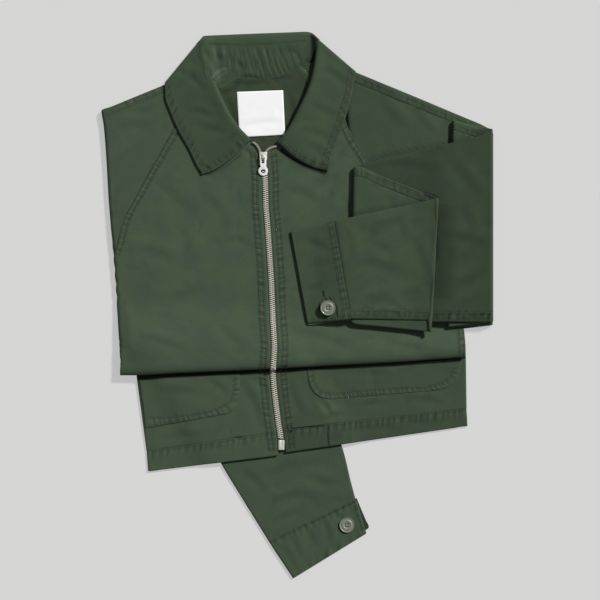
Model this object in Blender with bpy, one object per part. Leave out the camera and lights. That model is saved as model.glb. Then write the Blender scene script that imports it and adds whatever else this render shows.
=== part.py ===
"""Folded zip jacket of cotton twill, lying front up on a flat surface.

Lengths below are in millimetres and are turned into metres when a mesh is made. X runs to the
right of the view from above, Y towards the collar and Z up; the jacket rests on z = 0.
"right" and "left" in the names are the wearer's, so the right front is at low X.
"""

import math

import bmesh
import bpy
import numpy as np

MM = 0.001
GAP = 0.3  # between two pieces at a seam
SLANTED_GAP = 0.9  # the same across a slanted seam, measured along X

# Cloth and layers
CLOTH = 1.2  # wall of a front, back or pocket
SLEEVE_CLOTH = 1.1
COLLAR_CLOTH = 2.2  # upper and under collar with the interfacing between
TUBE_HALF = 1.0  # from a flattened sleeve's middle to the middle of either wall
TUBE_RIM = TUBE_HALF + SLEEVE_CLOTH / 2
LAYER = 3.8  # from one sleeve layer to the next
LIE = 0.6  # height of a wall's middle where it lies on the surface

# Heights of the middle of the front's wall
CHEST_Z = 8.0
SIDE_Z = 2.65
WAIST_Z = 12.2
BACK_NECK_Z = 4.6
HEM_BACK_Z = 0.6
HEM_FRONT_Z = 2.7
POCKET_LIFT = 1.7
WAIST_ROLL = 2.8  # radius of the waist fold
FOLD_LENGTH = 23.4  # cloth that turns round a fold and runs back under it
FOLD_STEP = 2.9
FOLD_STEPS = 8
BEND = (45.0, 90.0, 135.0, 180.0)  # degrees round the edge of a flattened tube

OLIVE = (0.115, 0.135, 0.105)
OLIVE_PALE = (0.135, 0.155, 0.122)
OLIVE_DARK = (0.075, 0.09, 0.07)
LABEL_WHITE = (0.78, 0.77, 0.74)
METAL = (0.35, 0.36, 0.33)
HORN = (0.33, 0.36, 0.31)


# ---------------------------------------------------------------- numbers and outlines


def smooth(share):
    share = np.clip(share, 0.0, 1.0)
    return share * share * (3.0 - 2.0 * share)


def mix(first, last, share):
    return first + (last - first) * share


def along(line, share):
    """The point at this share of a polyline's length."""
    line = np.asarray(line, float)
    steps = np.hypot(*np.diff(line, axis=0).T)
    length = np.concatenate([[0.0], np.cumsum(steps)])
    where = share * length[-1]
    return np.array([np.interp(where, length, line[:, 0]), np.interp(where, length, line[:, 1])])


def x_at(line, y):
    """The x of a polyline that runs down the jacket, at this y."""
    line = np.asarray(line, float)
    return float(np.interp(-y, -line[:, 1], line[:, 0]))


# x, y of the jacket's edge on the wearer's right, from the collar down to the waist fold
RIGHT_EDGE = [
    (-235, 234), (-231, 205), (-229, 174), (-226, 120), (-221, 64), (-218, 24), (-211, -84),
]
# x, y of the right raglan seam, from the collar to where it goes round the edge
RIGHT_RAGLAN = [(-133, 242), (-148, 213), (-164, 185), (-188, 142), (-210, 100), (-217, 72)]
SEAM_RUNS_BACK = 0.333  # mm round the fold for each mm down, below the raglan seam's end
# x, y of the left raglan seam, from the collar to the underarm, then down the side
LEFT_RAGLAN = [
    (55, 242), (58, 222), (66, 204), (83, 177), (114, 122), (145, 66), (176, 10), (198, -27),
    (200, -48), (201, -60),
]
# x, y of the zip's middle
ZIP = [
    (-41, 183), (-38, 150), (-38, 126), (-35, 90), (-31, 30), (-29, -18), (-27, -48), (-28, -66),
    (-29, -80), (-28, -96), (-26, -114), (-23, -138), (-20, -156), (-18, -174),
]
ZIP_HALF = 4.0
# x, y of the edge of the waist fold as seen from above
WAIST_EDGE = [(-212, -84), (-193, -84), (-140, -81), (-68, -78), (28, -73), (124, -68), (203, -62)]
# x, y of the edges of the lower part
LOWER_RIGHT_EDGE = [(-195.5, -56), (-193, -85), (-181, -175), (-179, -199)]
LOWER_LEFT_EDGE = [(203, -56), (204, -124), (205, -145)]


def zip_side(y, side):
    """Where a front ends beside the zip, on its right (-1) or left (1)."""
    return x_at(ZIP, y) + side * (ZIP_HALF + 2.0 * GAP)


def waist_y(x):
    line = np.asarray(WAIST_EDGE, float)
    return np.interp(x, line[:, 0], line[:, 1])


# ---------------------------------------------------------------- heights of the layers


def over_sleeve(x, y):
    """How far the lower part is lifted where it lies over the sleeve folded behind."""
    across = (x + 20.0) * 0.85 + (y + 176.0) * 0.527
    return 3.6 * (1.0 - smooth((np.abs(across) - 68.0) / 34.0))


def front_height(x, y):
    """Middle of the upper front: it falls to the side and is raised over the waist layers."""
    chest = CHEST_Z - (CHEST_Z - SIDE_Z) * smooth((x - 124.0) / 98.0)
    start = mix(6.0, -22.0, smooth((x + 32.0) / 84.0))
    rise = smooth((start - y) / (start + 56.0)) * (1.0 - smooth((x - 203.0) / 11.0))
    return chest + rise * (WAIST_Z + over_sleeve(x, y) - chest)


def sleeve_height(x, y, layer):
    """Middle of the flattened left sleeve, in each of its six layers from the shoulder to the cuff."""
    base = front_height(x, y) - TUBE_HALF
    if layer <= 2:
        return base + LAYER * layer
    pleat = 2.0 * LAYER * smooth((x - 148.0) / 34.0)
    if layer < 5:
        return base + pleat + LAYER * (layer - 2)
    drop = 2.0 * LAYER * (1.0 - smooth((x - 12.0) / 50.0))
    return base + pleat + LAYER * 3 - drop


def inside_height(x, y):
    """Top of the hidden layers: under the fronts, the sleeve and the back of the neck."""
    beside_seam = (x - 66.0) * 0.868 + (y - 204.0) * 0.496
    sleeve_step = 2.2 * smooth((beside_seam + 12.0) / 10.0)
    under_front = front_height(x, y + 6.0) - 1.5 - sleeve_step
    neck = smooth((y - 166.0) / 14.0) * (1.0 - smooth((np.abs(x + 46.0) - 80.0) / 14.0))
    return mix(under_front, BACK_NECK_Z - 1.1, neck)


# ---------------------------------------------------------------- meshes


def material(name, colour, roughness, metallic=0.0):
    made = bpy.data.materials.new(name)
    made.use_nodes = True
    shader = made.node_tree.nodes["Principled BSDF"]
    shader.inputs["Base Color"].default_value = (*colour, 1.0)
    shader.inputs["Roughness"].default_value = roughness
    shader.inputs["Metallic"].default_value = metallic
    made.diffuse_color = (*colour, 1.0)
    return made


def add_object(name, vertices, faces, look):
    mesh = bpy.data.meshes.new(name)
    mesh.from_pydata((np.asarray(vertices) * MM).tolist(), [], faces)
    mesh.materials.append(material(name, *look))
    mesh.validate()
    mesh.shade_smooth()
    made = bpy.data.objects.new(name, mesh)
    bpy.context.scene.collection.objects.link(made)
    return made


def rim(rows, columns):
    """Grid indices round the edge, the way the faces of the grid run."""
    down = [(i, 0) for i in range(rows)]
    across = [(rows - 1, j) for j in range(1, columns)]
    up = [(i, columns - 1) for i in range(rows - 2, -1, -1)]
    back = [(0, j) for j in range(columns - 2, 0, -1)]
    return [i * columns + j for i, j in down + across + up + back]


def grid_faces(rows, columns, start=0, turned=False):
    faces = []
    for i in range(rows - 1):
        for j in range(columns - 1):
            corner = start + i * columns + j
            face = (corner, corner + columns, corner + columns + 1, corner + 1)
            faces.append(face[::-1] if turned else face)
    return faces


def sheet(name, points, wall, look):
    """A closed wall of cloth about a grid of points in its middle."""
    middle = np.asarray(points, float)
    rows, columns = middle.shape[:2]
    normal = np.cross(np.gradient(middle, axis=0), np.gradient(middle, axis=1))
    normal /= np.linalg.norm(normal, axis=2, keepdims=True)
    half = np.asarray(wall, float) / 2.0
    if half.ndim:
        half = half[..., None]
    outer = (middle + normal * half).reshape(-1, 3)
    inner = (middle - normal * half).reshape(-1, 3)
    count = rows * columns
    faces = grid_faces(rows, columns) + grid_faces(rows, columns, count, turned=True)
    edge = rim(rows, columns)
    for here, after in zip(edge, edge[1:] + edge[:1]):
        faces.append((after, here, here + count, after + count))
    return add_object(name, np.concatenate([outer, inner]), faces, look)


def block(name, plan, top, levels, look):
    """A solid under a grid: its top follows the heights, its side is layered, its bottom is flat.

    levels has a row for each ring down the side: share of the height, mm in from the outline.
    """
    plan = np.asarray(plan, float)
    rows, columns = plan.shape[:2]
    height = top(plan[..., 0], plan[..., 1])
    edge = rim(rows, columns)
    ring = plan.reshape(-1, 2)[edge]
    run = np.roll(ring, -1, axis=0) - np.roll(ring, 1, axis=0)
    run /= np.linalg.norm(run, axis=1, keepdims=True)
    inward = np.stack([-run[:, 1], run[:, 0]], axis=1)
    vertices = [np.dstack([plan, height]).reshape(-1, 3)]
    faces = grid_faces(rows, columns)
    above = edge
    first = rows * columns
    for share, inset in levels:
        level = np.column_stack([ring + inward * inset, height.reshape(-1)[edge] * share])
        vertices.append(level)
        here = list(range(first, first + len(edge)))
        for k in range(len(edge)):
            after = (k + 1) % len(edge)
            faces.append((above[after], above[k], here[k], here[after]))
        above = here
        first += len(edge)
    faces.append(tuple(above[::-1]))
    return add_object(name, np.concatenate(vertices), faces, look)


# ---------------------------------------------------------------- body of the jacket


def fold_right(x, y):
    """Turns cloth that runs past the wearer's right edge round it and back underneath.

    x is measured along the cloth; the wall's middle ends on the surface below.
    """
    edge = x_at(RIGHT_EDGE, y)
    roll = (float(front_height(edge + 4.3, y)) - LIE) / 2.0
    line = edge + roll + CLOTH / 2.0
    past = line - x
    height = float(front_height(max(x, line), y))
    if past <= 0.0:
        return np.array([x, y, height])
    if past < math.pi * roll:
        turn = past / roll
        return np.array([line - roll * math.sin(turn), y, height - roll + roll * math.cos(turn)])
    return np.array([line + past - math.pi * roll, y, height - 2.0 * roll])


def fold_line_right(y):
    edge = x_at(RIGHT_EDGE, y)
    return edge + (float(front_height(edge + 4.3, y)) - LIE) / 2.0 + CLOTH / 2.0


def waist_line(x):
    """y of the line where the waist fold starts to turn."""
    return float(waist_y(x)) + WAIST_ROLL + CLOTH / 2.0


def turn_waist(x, turn, run_back, lift=0.0):
    """A point of the cloth under the waist fold: degrees round it, then a share of its run back."""
    line = waist_line(x)
    back = run_back * min(WAIST_RUN_BACK, WAIST_RUN_END_Y - line)
    height = float(front_height(x, line + back))
    roll = WAIST_ROLL + lift
    angle = math.radians(turn)
    y = line - roll * math.sin(angle) + back
    return np.array([x, y, height - WAIST_ROLL + roll * math.cos(angle)])


def spread(length, steps):
    """Distances from the end of a row of cloth that turns round a fold, the first at its start."""
    step = min(FOLD_STEP, length / (steps + FOLD_STEPS))
    flat = np.linspace(length, step * FOLD_STEPS, steps + 1)
    turned = step * np.arange(FOLD_STEPS - 1, -1, -1)
    return np.concatenate([flat, turned])


def seam_past_fold(y):
    """Where the raglan seam lies round the right edge, as mm of cloth past the fold's line."""
    return (72.0 - y) * SEAM_RUNS_BACK


# y where a row of the right front meets its seam or edge, y where it meets the zip,
# and the cloth that it has past the edge's fold line
RIGHT_FRONT_STEPS = 6
RIGHT_FRONT_ROWS = [
    # y_edge, y_zip, past
    (242.0, 188.0, None), (226.0, 176.0, None), (207.0, 163.0, None), (185.0, 150.0, None),
    (163.0, 134.0, None), (142.0, 118.0, None), (120.0, 102.0, None), (100.0, 88.0, None),
    (84.0, 76.0, None), (72.0, 68.0, 0.0), (54.0, 52.0, 6.0), (36.0, 36.0, 12.0), (18.0, 20.0, 18.0),
    (2.0, 5.0, FOLD_LENGTH), (-10.0, -6.0, FOLD_LENGTH), (-20.0, -16.0, FOLD_LENGTH),
    (-30.0, -26.0, FOLD_LENGTH), (-40.0, -36.0, FOLD_LENGTH), (-50.0, -46.0, 14.0),
    (-60.0, -57.0, 6.0), (-70.0, -66.0, 0.0),
]
WAIST_RUN_BACK = 12.0
WAIST_RUN_END_Y = -57.6
# degrees round the waist fold, share of the run back under it
WAIST_TURNS = [
    (0, 0.0), (30, 0.0), (60, 0.0), (90, 0.0), (120, 0.0), (150, 0.0), (180, 0.0), (180, 1.0),
]


def front_right():
    rows = []
    for y_edge, y_zip, past in RIGHT_FRONT_ROWS:
        if past is None:
            start_x = x_at(RIGHT_RAGLAN, y_edge) + SLANTED_GAP
        else:
            start_x = fold_line_right(y_edge) - past + SLANTED_GAP
        end_x = zip_side(y_zip, -1)
        row = []
        for share in spread(end_x - start_x, RIGHT_FRONT_STEPS) / (end_x - start_x):
            row.append(fold_right(mix(start_x, end_x, share), mix(y_edge, y_zip, share)))
        rows.append(row)
    start_x = fold_line_right(RIGHT_FRONT_ROWS[-1][0]) + SLANTED_GAP
    for turn, run_back in WAIST_TURNS:
        end_x = zip_side(waist_line(-30.0), -1)
        shares = spread(end_x - start_x, RIGHT_FRONT_STEPS) / (end_x - start_x)
        rows.append([turn_waist(mix(start_x, end_x, s), turn, run_back) for s in shares])
    sheet("front_right", [row[::-1] for row in rows], CLOTH, (OLIVE, 0.92))


# y where a row of the left front meets the zip, and y where it meets the raglan seam or the side
LEFT_FRONT_ROWS = [
    # y_zip, y_side
    (187.0, 242.0), (172.0, 222.0), (156.0, 204.0), (142.0, 184.0), (124.0, 160.0), (104.0, 132.0),
    (84.0, 104.0), (62.0, 76.0), (40.0, 48.0), (18.0, 20.0), (0.0, 0.0), (-14.0, -14.0),
    (-24.0, -24.0), (-33.0, -31.0), (-41.0, -38.0), (-49.0, -44.5), (-58.0, -51.0),
]
FRONT_COLUMNS = 11


def front_left():
    shares = np.linspace(0.0, 1.0, FRONT_COLUMNS + 1)
    rows = []
    for y_zip, y_side in LEFT_FRONT_ROWS:
        start_x, end_x = zip_side(y_zip, 1), x_at(LEFT_RAGLAN, y_side) - GAP
        row = []
        for share in shares:
            x, y = mix(start_x, end_x, share), mix(y_zip, y_side, share)
            row.append((x, y, float(front_height(x, y))))
        rows.append(row)
    start_x, end_x = zip_side(waist_line(-25.0), 1), LEFT_RAGLAN[-1][0] - GAP
    for turn, run_back in WAIST_TURNS:
        rows.append([turn_waist(mix(start_x, end_x, share), turn, run_back) for share in shares])
    sheet("front_left", rows, CLOTH, (OLIVE, 0.92))


# x, y of the right sleeve head's outer edge, x, y on its raglan seam and the way out of the edge,
# from the collar down
SLEEVE_HEAD_ROWS = [
    # edge_x, edge_y, seam_x, seam_y, outward_x, outward_y
    (-157.0, 266.0, -133.0, 242.0, -0.38, 0.925),
    (-175.0, 258.6, -137.0, 234.0, -0.38, 0.925),
    (-200.0, 248.4, -143.0, 223.0, -0.38, 0.925),
    (-224.0, 238.5, -150.0, 209.5, -0.5, 0.866),
    (-235.0, 234.0, -156.0, 199.0, -0.83, 0.56),
    (-232.2, 215.0, -162.0, 188.5, -0.98, 0.1),
]


def head_point(edge, outward, past):
    """A point of the sleeve head: past is mm of cloth beyond the fold's line."""
    roll = (CHEST_Z - LIE) / 2.0
    centre = edge - outward * (roll + CLOTH / 2.0)
    if past < math.pi * roll:
        turn = past / roll
        place = centre + outward * roll * math.sin(turn)
        return np.array([place[0], place[1], CHEST_Z - roll + roll * math.cos(turn)])
    place = centre - outward * (past - math.pi * roll)
    return np.array([place[0], place[1], CHEST_Z - 2.0 * roll])


def sleeve_right_head():
    rows = []
    for edge_x, edge_y, seam_x, seam_y, out_x, out_y in SLEEVE_HEAD_ROWS:
        outward = np.array([out_x, out_y]) / math.hypot(out_x, out_y)
        edge = np.array([edge_x, edge_y])
        line = edge - outward * ((CHEST_Z - LIE) / 2.0 + CLOTH / 2.0)
        seam = np.array([seam_x, seam_y])
        flat = math.dist(line, seam)
        row = []
        for from_end in spread(flat + FOLD_LENGTH, 4):
            past = FOLD_LENGTH - from_end
            if past <= 0.0:
                place = mix(line, seam, -past / flat)
                row.append(np.array([place[0], place[1], CHEST_Z]))
            else:
                row.append(head_point(edge, outward, past))
        rows.append(row)
    for y in (172.0, 150.0, 128.0, 104.0, 86.0, 72.0, 54.0, 36.0, 22.0):
        seam_x = x_at(RIGHT_RAGLAN, y) if y >= 72.0 else fold_line_right(y) - seam_past_fold(y)
        end_x = fold_line_right(y) - FOLD_LENGTH
        rows.append([fold_right(end_x + d, y) for d in spread(seam_x - end_x, 4)])
    sheet("sleeve_right_head", rows, CLOTH, (OLIVE, 0.92))


# x, y of the hidden layers' outline at their left and right ends, from the neck to the waist
HIDDEN_ROWS = [
    # x_right, y_right, x_left, y_left
    (-107, 315, 20, 315), (-130, 290, 42, 296), (-152, 259, 64, 273), (-191, 242, 118, 250),
    (-225, 227, 168, 229), (-225, 204, 169, 206), (-223, 180, 170, 182), (-219, 130, 171, 130),
    (-216, 85, 172, 85), (-212, 40, 173, 40), (-210.5, 12, 174, 12), (-210, -6, 175, -6),
    (-209, -18, 178, -18), (-207.5, -30, 184, -28), (-206, -42, 190, -40), (-205, -54, 195, -54),
]
HIDDEN_COLUMNS = 12
HIDDEN_LEVELS = [
    # share of height, mm in: three rounded layers with a groove between each two
    (0.88, -1.8), (0.76, -1.8), (0.70, -0.2), (0.62, -2.0), (0.48, -2.0), (0.42, -0.2), (0.34, -1.2),
    (0.26, 15.0), (0.0, 15.0),
]


def hidden_layers():
    plan = []
    for x_right, y_right, x_left, y_left in HIDDEN_ROWS:
        shares = np.linspace(0.0, 1.0, HIDDEN_COLUMNS + 1)
        plan.append([(mix(x_right, x_left, s), mix(y_right, y_left, s)) for s in shares])
    block("hidden_layers", plan, inside_height, HIDDEN_LEVELS, (OLIVE_DARK, 0.95))


def waist_layers():
    """The back and the turned-up cloth inside the waist fold."""
    rows, walls = [], []
    for share, wall in ((0.0, 2.4), (0.5, 2.4), (0.86, 2.4), (0.95, 2.0), (1.0, 1.2)):
        row = []
        for x in np.linspace(-203.0, 194.0, 21):
            line = waist_line(x)
            y = mix(-57.2, line + 0.6, share)
            row.append((x, y, float(front_height(x, y)) - WAIST_ROLL - 0.5))
        rows.append(row)
        walls.append([wall] * 21)
    sheet("waist_layers", rows, walls, (OLIVE_DARK, 0.95))


# ---------------------------------------------------------------- lower part and hem

LOWER_START_Y = -58.0
LOWER_COLUMNS_RIGHT = 11
LOWER_COLUMNS_LEFT = 14
# y at the side and at the zip
BAND_SEAM_RIGHT = (-175.0, -152.0)
BAND_SEAM_LEFT = (-124.0, -148.5)
HEM_RIGHT = (-199.0, -180.0)
HEM_LEFT = (-145.0, -176.5)


def lower_row(left_end, right_end, count, turn_at, height):
    """Points of one row of the lower part; turn_at is -1 or 1 for the end that turns round the side."""
    centre_r = (HEM_FRONT_Z - HEM_BACK_Z) / 2.0
    left_end, right_end = np.array(left_end, float), np.array(right_end, float)
    if turn_at < 0:
        left_end = left_end + (centre_r + CLOTH / 2.0, 0.0)
    else:
        right_end = right_end - (centre_r + CLOTH / 2.0, 0.0)
    flat = [mix(left_end, right_end, s) for s in np.linspace(0.0, 1.0, count + 1)]
    row = [np.array([p[0], p[1], height + float(over_sleeve(p[0], p[1]))]) for p in flat]
    end = row[0] if turn_at < 0 else row[-1]
    turned = []
    for angle in BEND:
        a = math.radians(angle)
        turned.append(end + (turn_at * centre_r * math.sin(a), 0.0, -centre_r + centre_r * math.cos(a)))
    turned.append(turned[-1] + (-turn_at * 4.0, 0.0, 0.0))
    return turned[::-1] + row if turn_at < 0 else row + turned


def lower_piece(name, turn_at, y_side, y_zip, outer_edge, steps, look):
    """A front or band of the lower part, between two rows given by y at the side and at the zip."""
    rows = []
    for share in np.linspace(0.0, 1.0, steps + 1):
        side_y = mix(y_side[0], y_side[1], share)
        front_y = mix(y_zip[0], y_zip[1], share)
        side, front = (x_at(outer_edge, side_y), side_y), (zip_side(front_y, turn_at), front_y)
        if turn_at < 0:
            rows.append(lower_row(side, front, LOWER_COLUMNS_RIGHT, turn_at, HEM_FRONT_Z))
        else:
            rows.append(lower_row(front, side, LOWER_COLUMNS_LEFT, turn_at, HEM_FRONT_Z))
    sheet(name, rows, CLOTH, look)


def lower_fronts():
    for name, turn_at, seam, edge in (
        ("front_right_lower", -1, BAND_SEAM_RIGHT, LOWER_RIGHT_EDGE),
        ("front_left_lower", 1, BAND_SEAM_LEFT, LOWER_LEFT_EDGE),
    ):
        y_side, y_zip = (LOWER_START_Y, seam[0]), (LOWER_START_Y, seam[1])
        lower_piece(name, turn_at, y_side, y_zip, edge, 8, (OLIVE, 0.92))


def hem_bands():
    for name, turn_at, seam, hem, edge in (
        ("hem_band_right", -1, BAND_SEAM_RIGHT, HEM_RIGHT, LOWER_RIGHT_EDGE),
        ("hem_band_left", 1, BAND_SEAM_LEFT, HEM_LEFT, LOWER_LEFT_EDGE),
    ):
        y_side, y_zip = (seam[0] - GAP, hem[0]), (seam[1] - GAP, hem[1])
        lower_piece(name, turn_at, y_side, y_zip, edge, 2, (OLIVE_PALE, 0.92))


def back_lower():
    rows = []
    for share in np.linspace(0.0, 1.0, 9):
        left = mix(np.array([-188.2, LOWER_START_Y]), np.array([-171.2, -197.0]), share)
        right = mix(np.array([196.0, LOWER_START_Y]), np.array([197.4, -144.5]), share)
        row = []
        for s in np.linspace(0.0, 1.0, 21):
            x, y = mix(left, right, s)
            row.append((x, y, HEM_BACK_Z + float(over_sleeve(x, y))))
        rows.append(row)
    sheet("back_lower", rows, CLOTH, (OLIVE, 0.92))


def pocket(name, rows_table, count):
    rows = []
    for x_right, y_right, x_left, y_left in rows_table:
        row = []
        for s in np.linspace(0.0, 1.0, count + 1):
            x, y = mix(x_right, x_left, s), mix(y_right, y_left, s)
            row.append((x, y, HEM_FRONT_Z + POCKET_LIFT + float(over_sleeve(x, y))))
        rows.append(row)
    sheet(name, rows, CLOTH, (OLIVE_PALE, 0.92))


# x, y at each end of a row of a pocket, from its hidden top to its rounded bottom
RIGHT_POCKET_ROWS = [
    (-191.0, -74.0, -69.5, -74.0), (-189.0, -92.0, -69.5, -90.0), (-187.0, -108.0, -69.5, -104.0),
    (-184.5, -124.0, -70.5, -116.0), (-183.0, -138.0, -75.0, -124.0), (-182.0, -147.5, -84.0, -130.0),
]
LEFT_POCKET_ROWS = [
    (12.5, -68.0, 197.0, -66.0), (12.8, -80.0, 196.5, -76.0), (14.5, -92.0, 194.0, -84.0),
    (19.0, -102.0, 189.0, -92.0), (28.0, -110.0, 178.0, -99.0), (40.0, -112.5, 160.0, -102.5),
]


def pockets():
    pocket("pocket_right", RIGHT_POCKET_ROWS, 8)
    pocket("pocket_left", LEFT_POCKET_ROWS, 11)


# ---------------------------------------------------------------- sleeves as flattened tubes

SEAM_FROM_EDGE = 10.0
PANEL_GAP = 0.6  # between the two panels of a sleeve


def front_section(width, steps):
    """(across, up) of the panel that is flat on top and turns round the far edge."""
    section = [(v, TUBE_HALF) for v in np.linspace(SEAM_FROM_EDGE, width, steps + 1)]
    for a in np.radians(BEND):
        section.append((width + TUBE_HALF * math.sin(a), TUBE_HALF * math.cos(a)))
    return section + [(width - SEAM_FROM_EDGE, -TUBE_HALF)]


def back_section(width, steps):
    """(across, up) of the panel that is flat beneath and turns round the near edge."""
    section = [(width - v, -w) for v, w in front_section(width, steps)]
    section[0] = (section[0][0] - PANEL_GAP, -TUBE_HALF)
    section[-1] = (SEAM_FROM_EDGE - PANEL_GAP, TUBE_HALF)
    return section


# x, y along the raglan seam, where the left sleeve starts
SLEEVE_START = [
    (64, 282.5), (58, 250), (58.6, 222), (66.6, 204), (83.6, 177), (114.8, 122), (146.2, 66),
    (178, 10), (201, -28),
]
# The left sleeve's six layers, from the raglan seam to the cuff
SLEEVE_LAYERS = [
    # x, y of the line where it starts, x, y of the fold line where it ends, rows as shares of the way
    (SLEEVE_START, [(235, 212), (235, -24)], [0.0, 0.15, 0.32, 0.5, 0.66, 0.8, 0.92]),
    ([(235, 212), (235, -24)], [(187, 222), (181, -26)], [0.15, 0.8]),
    ([(187, 222), (181, -26)], [(235, 207), (235, -20)], [0.15, 0.8]),
    ([(235, 207), (235, -20)], [(68, 166), (64, -20)],
     [0.05, 0.2, 0.3, 0.35, 0.4, 0.45, 0.5, 0.55, 0.75, 0.95]),
    ([(68, 168), (64, -22)], [(169, 128), (161, -32)], [0.05, 0.3, 0.6, 0.75, 0.85, 0.95]),
    ([(169, 128), (161, -18)], [(44.3, 101), (64.3, -16)], [0.05, 0.15, 0.25, 0.5, 0.75, 0.87, 1.0]),
]
FOLD_TURNS = (0.0, 45.0, 90.0, 135.0, 180.0)


def line_frame(line):
    """Direction along a straight fold line, and its normal to the left of it."""
    first, last = np.asarray(line[0], float), np.asarray(line[-1], float)
    run = (last - first) / math.dist(first, last)
    return run, np.array([-run[1], run[0]])


def place_across(start, end, share, across):
    """The point `across` mm from the near edge, on the row at this share between two lines."""
    near = mix(along(start, 0.0), along(end, 0.0), share)
    far = mix(along(start, 1.0), along(end, 1.0), share)
    part = (across + TUBE_RIM) / math.dist(near, far)
    return mix(along(start, part), along(end, part), share)


def sleeve_left_rows(section, steps):
    rows = []
    last = len(SLEEVE_LAYERS) - 1
    for layer, (start, end, shares) in enumerate(SLEEVE_LAYERS):
        up = 1.0 if layer % 2 == 0 else -1.0
        for share in shares:
            near = mix(along(start, 0.0), along(end, 0.0), share)
            far = mix(along(start, 1.0), along(end, 1.0), share)
            width = math.dist(near, far) - 2.0 * TUBE_RIM
            row = []
            for across, side in section(width, steps):
                x, y = place_across(start, end, share, across)
                row.append((x, y, float(sleeve_height(x, y, layer)) + up * side))
            rows.append(row)
        if layer == last:
            break
        rows += sleeve_fold_rows(end, layer, up, section, steps)
    return rows


def sleeve_fold_rows(line, layer, up, section, steps):
    """Rows that turn a sleeve layer round a fold line into the next layer above it."""
    run, left = line_frame(line)
    outward = left if layer % 2 == 0 else -left
    width = math.dist(line[0], line[-1]) - 2.0 * TUBE_RIM
    inset = LAYER / 2.0 + TUBE_RIM
    rows = []
    for turn in FOLD_TURNS:
        a = math.radians(turn)
        row = []
        for across, side in section(width, steps):
            place = np.asarray(line[0], float) + run * (across + TUBE_RIM) - outward * inset
            low = float(sleeve_height(place[0], place[1], layer))
            high = float(sleeve_height(place[0], place[1], layer + 1))
            roll = (high - low) / 2.0 - up * side
            place = place + outward * roll * math.sin(a)
            row.append((place[0], place[1], (high + low) / 2.0 - roll * math.cos(a)))
        rows.append(row)
    return rows


def sleeve_left():
    sheet("sleeve_left_front", sleeve_left_rows(front_section, 5), SLEEVE_CLOTH, (OLIVE, 0.92))
    sheet("sleeve_left_back", sleeve_left_rows(back_section, 5), SLEEVE_CLOTH, (OLIVE_PALE, 0.92))


# x, y of the right sleeve's edges where it shows below the hem, from under the body to the cuff
SLEEVE_END_ROWS = [
    # near_x, near_y, far_x, far_y
    (-160.0, -60.0, -22.0, -59.0), (-137.0, -103.0, 3.0, -94.0), (-114.5, -146.0, 28.0, -130.0),
    (-92.0, -189.0, 52.0, -164.0), (-63.0, -237.0, 66.5, -212.0), (-34.0, -283.0, 71.4, -233.0),
]


def sleeve_right_end():
    for name, section in (
        ("sleeve_right_end_front", front_section),
        ("sleeve_right_end_back", back_section),
    ):
        rows = []
        for near_x, near_y, far_x, far_y in SLEEVE_END_ROWS:
            near, far = np.array([near_x, near_y]), np.array([far_x, far_y])
            run = (far - near) / math.dist(near, far)
            row = []
            for across, side in section(math.dist(near, far) - 2.0 * TUBE_RIM, 6):
                place = near + run * (across + TUBE_RIM)
                row.append((place[0], place[1], TUBE_RIM + side))
            rows.append(row)
        sheet(name, rows, SLEEVE_CLOTH, (OLIVE, 0.92))


CUFF_CLOTH = 1.4
CUFF_HALF = 1.0
CUFF_COLUMNS = 8
# the line of each cuff's seam and the line of its end, both from the folded edge to the open one
CUFF_RIGHT_SEAM = ((-34.1, -283.3), (71.3, -233.3))
CUFF_RIGHT_END = ((-5.0, -328.0), (83.0, -274.0))
CUFF_RIGHT_OVERLAP = 5.0
CUFF_LEFT_SEAM = ((44.0, 100.9), (64.0, -16.0))
CUFF_LEFT_END = ((-7.0, 89.0), (13.0, -21.0))
CUFF_LEFT_OVERLAP = 3.0


def cuff(name, seam, end, height, overlap):
    """A band folded at its near edge; at the far edge the under layer reaches out past the top one."""
    rows = []
    for share in (0.0, 0.08, 0.36, 0.68, 1.0):
        near = mix(np.array(seam[0]), np.array(end[0]), share)
        far = mix(np.array(seam[1]), np.array(end[1]), share)
        reach = math.dist(near, far)
        run = (far - near) / reach
        rim_in = CUFF_HALF + CUFF_CLOTH / 2.0
        row = [(across, CUFF_HALF) for across in np.linspace(reach, rim_in, CUFF_COLUMNS)]
        for a in np.radians(BEND):
            row.append((rim_in - CUFF_HALF * math.sin(a), CUFF_HALF * math.cos(a)))
        under = np.linspace(rim_in, reach + overlap, CUFF_COLUMNS)
        row += [(across, -CUFF_HALF) for across in under[1:]]
        placed = []
        for across, side in row:
            x, y = near + run * across
            placed.append((x, y, float(height(x, y)) + side))
        rows.append(placed)
    sheet(name, rows, CUFF_CLOTH, (OLIVE_PALE, 0.92))


def cuff_right_height(x, y):
    return CUFF_HALF + CUFF_CLOTH / 2.0


def cuff_left_height(x, y):
    return sleeve_height(x, y, 5)


def cuffs():
    cuff("cuff_right", CUFF_RIGHT_SEAM, CUFF_RIGHT_END, cuff_right_height, CUFF_RIGHT_OVERLAP)
    cuff("cuff_left", CUFF_LEFT_SEAM, CUFF_LEFT_END, cuff_left_height, CUFF_LEFT_OVERLAP)


# ---------------------------------------------------------------- collar and neck

# mm inward of the roll line, share of the drop to the neck seam
ROLL = [(1.6, 0.07), (2.7, 0.28), (2.6, 0.57), (1.0, 0.83), (-2.0, 1.0)]
LEAF_STEPS = 5
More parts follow.
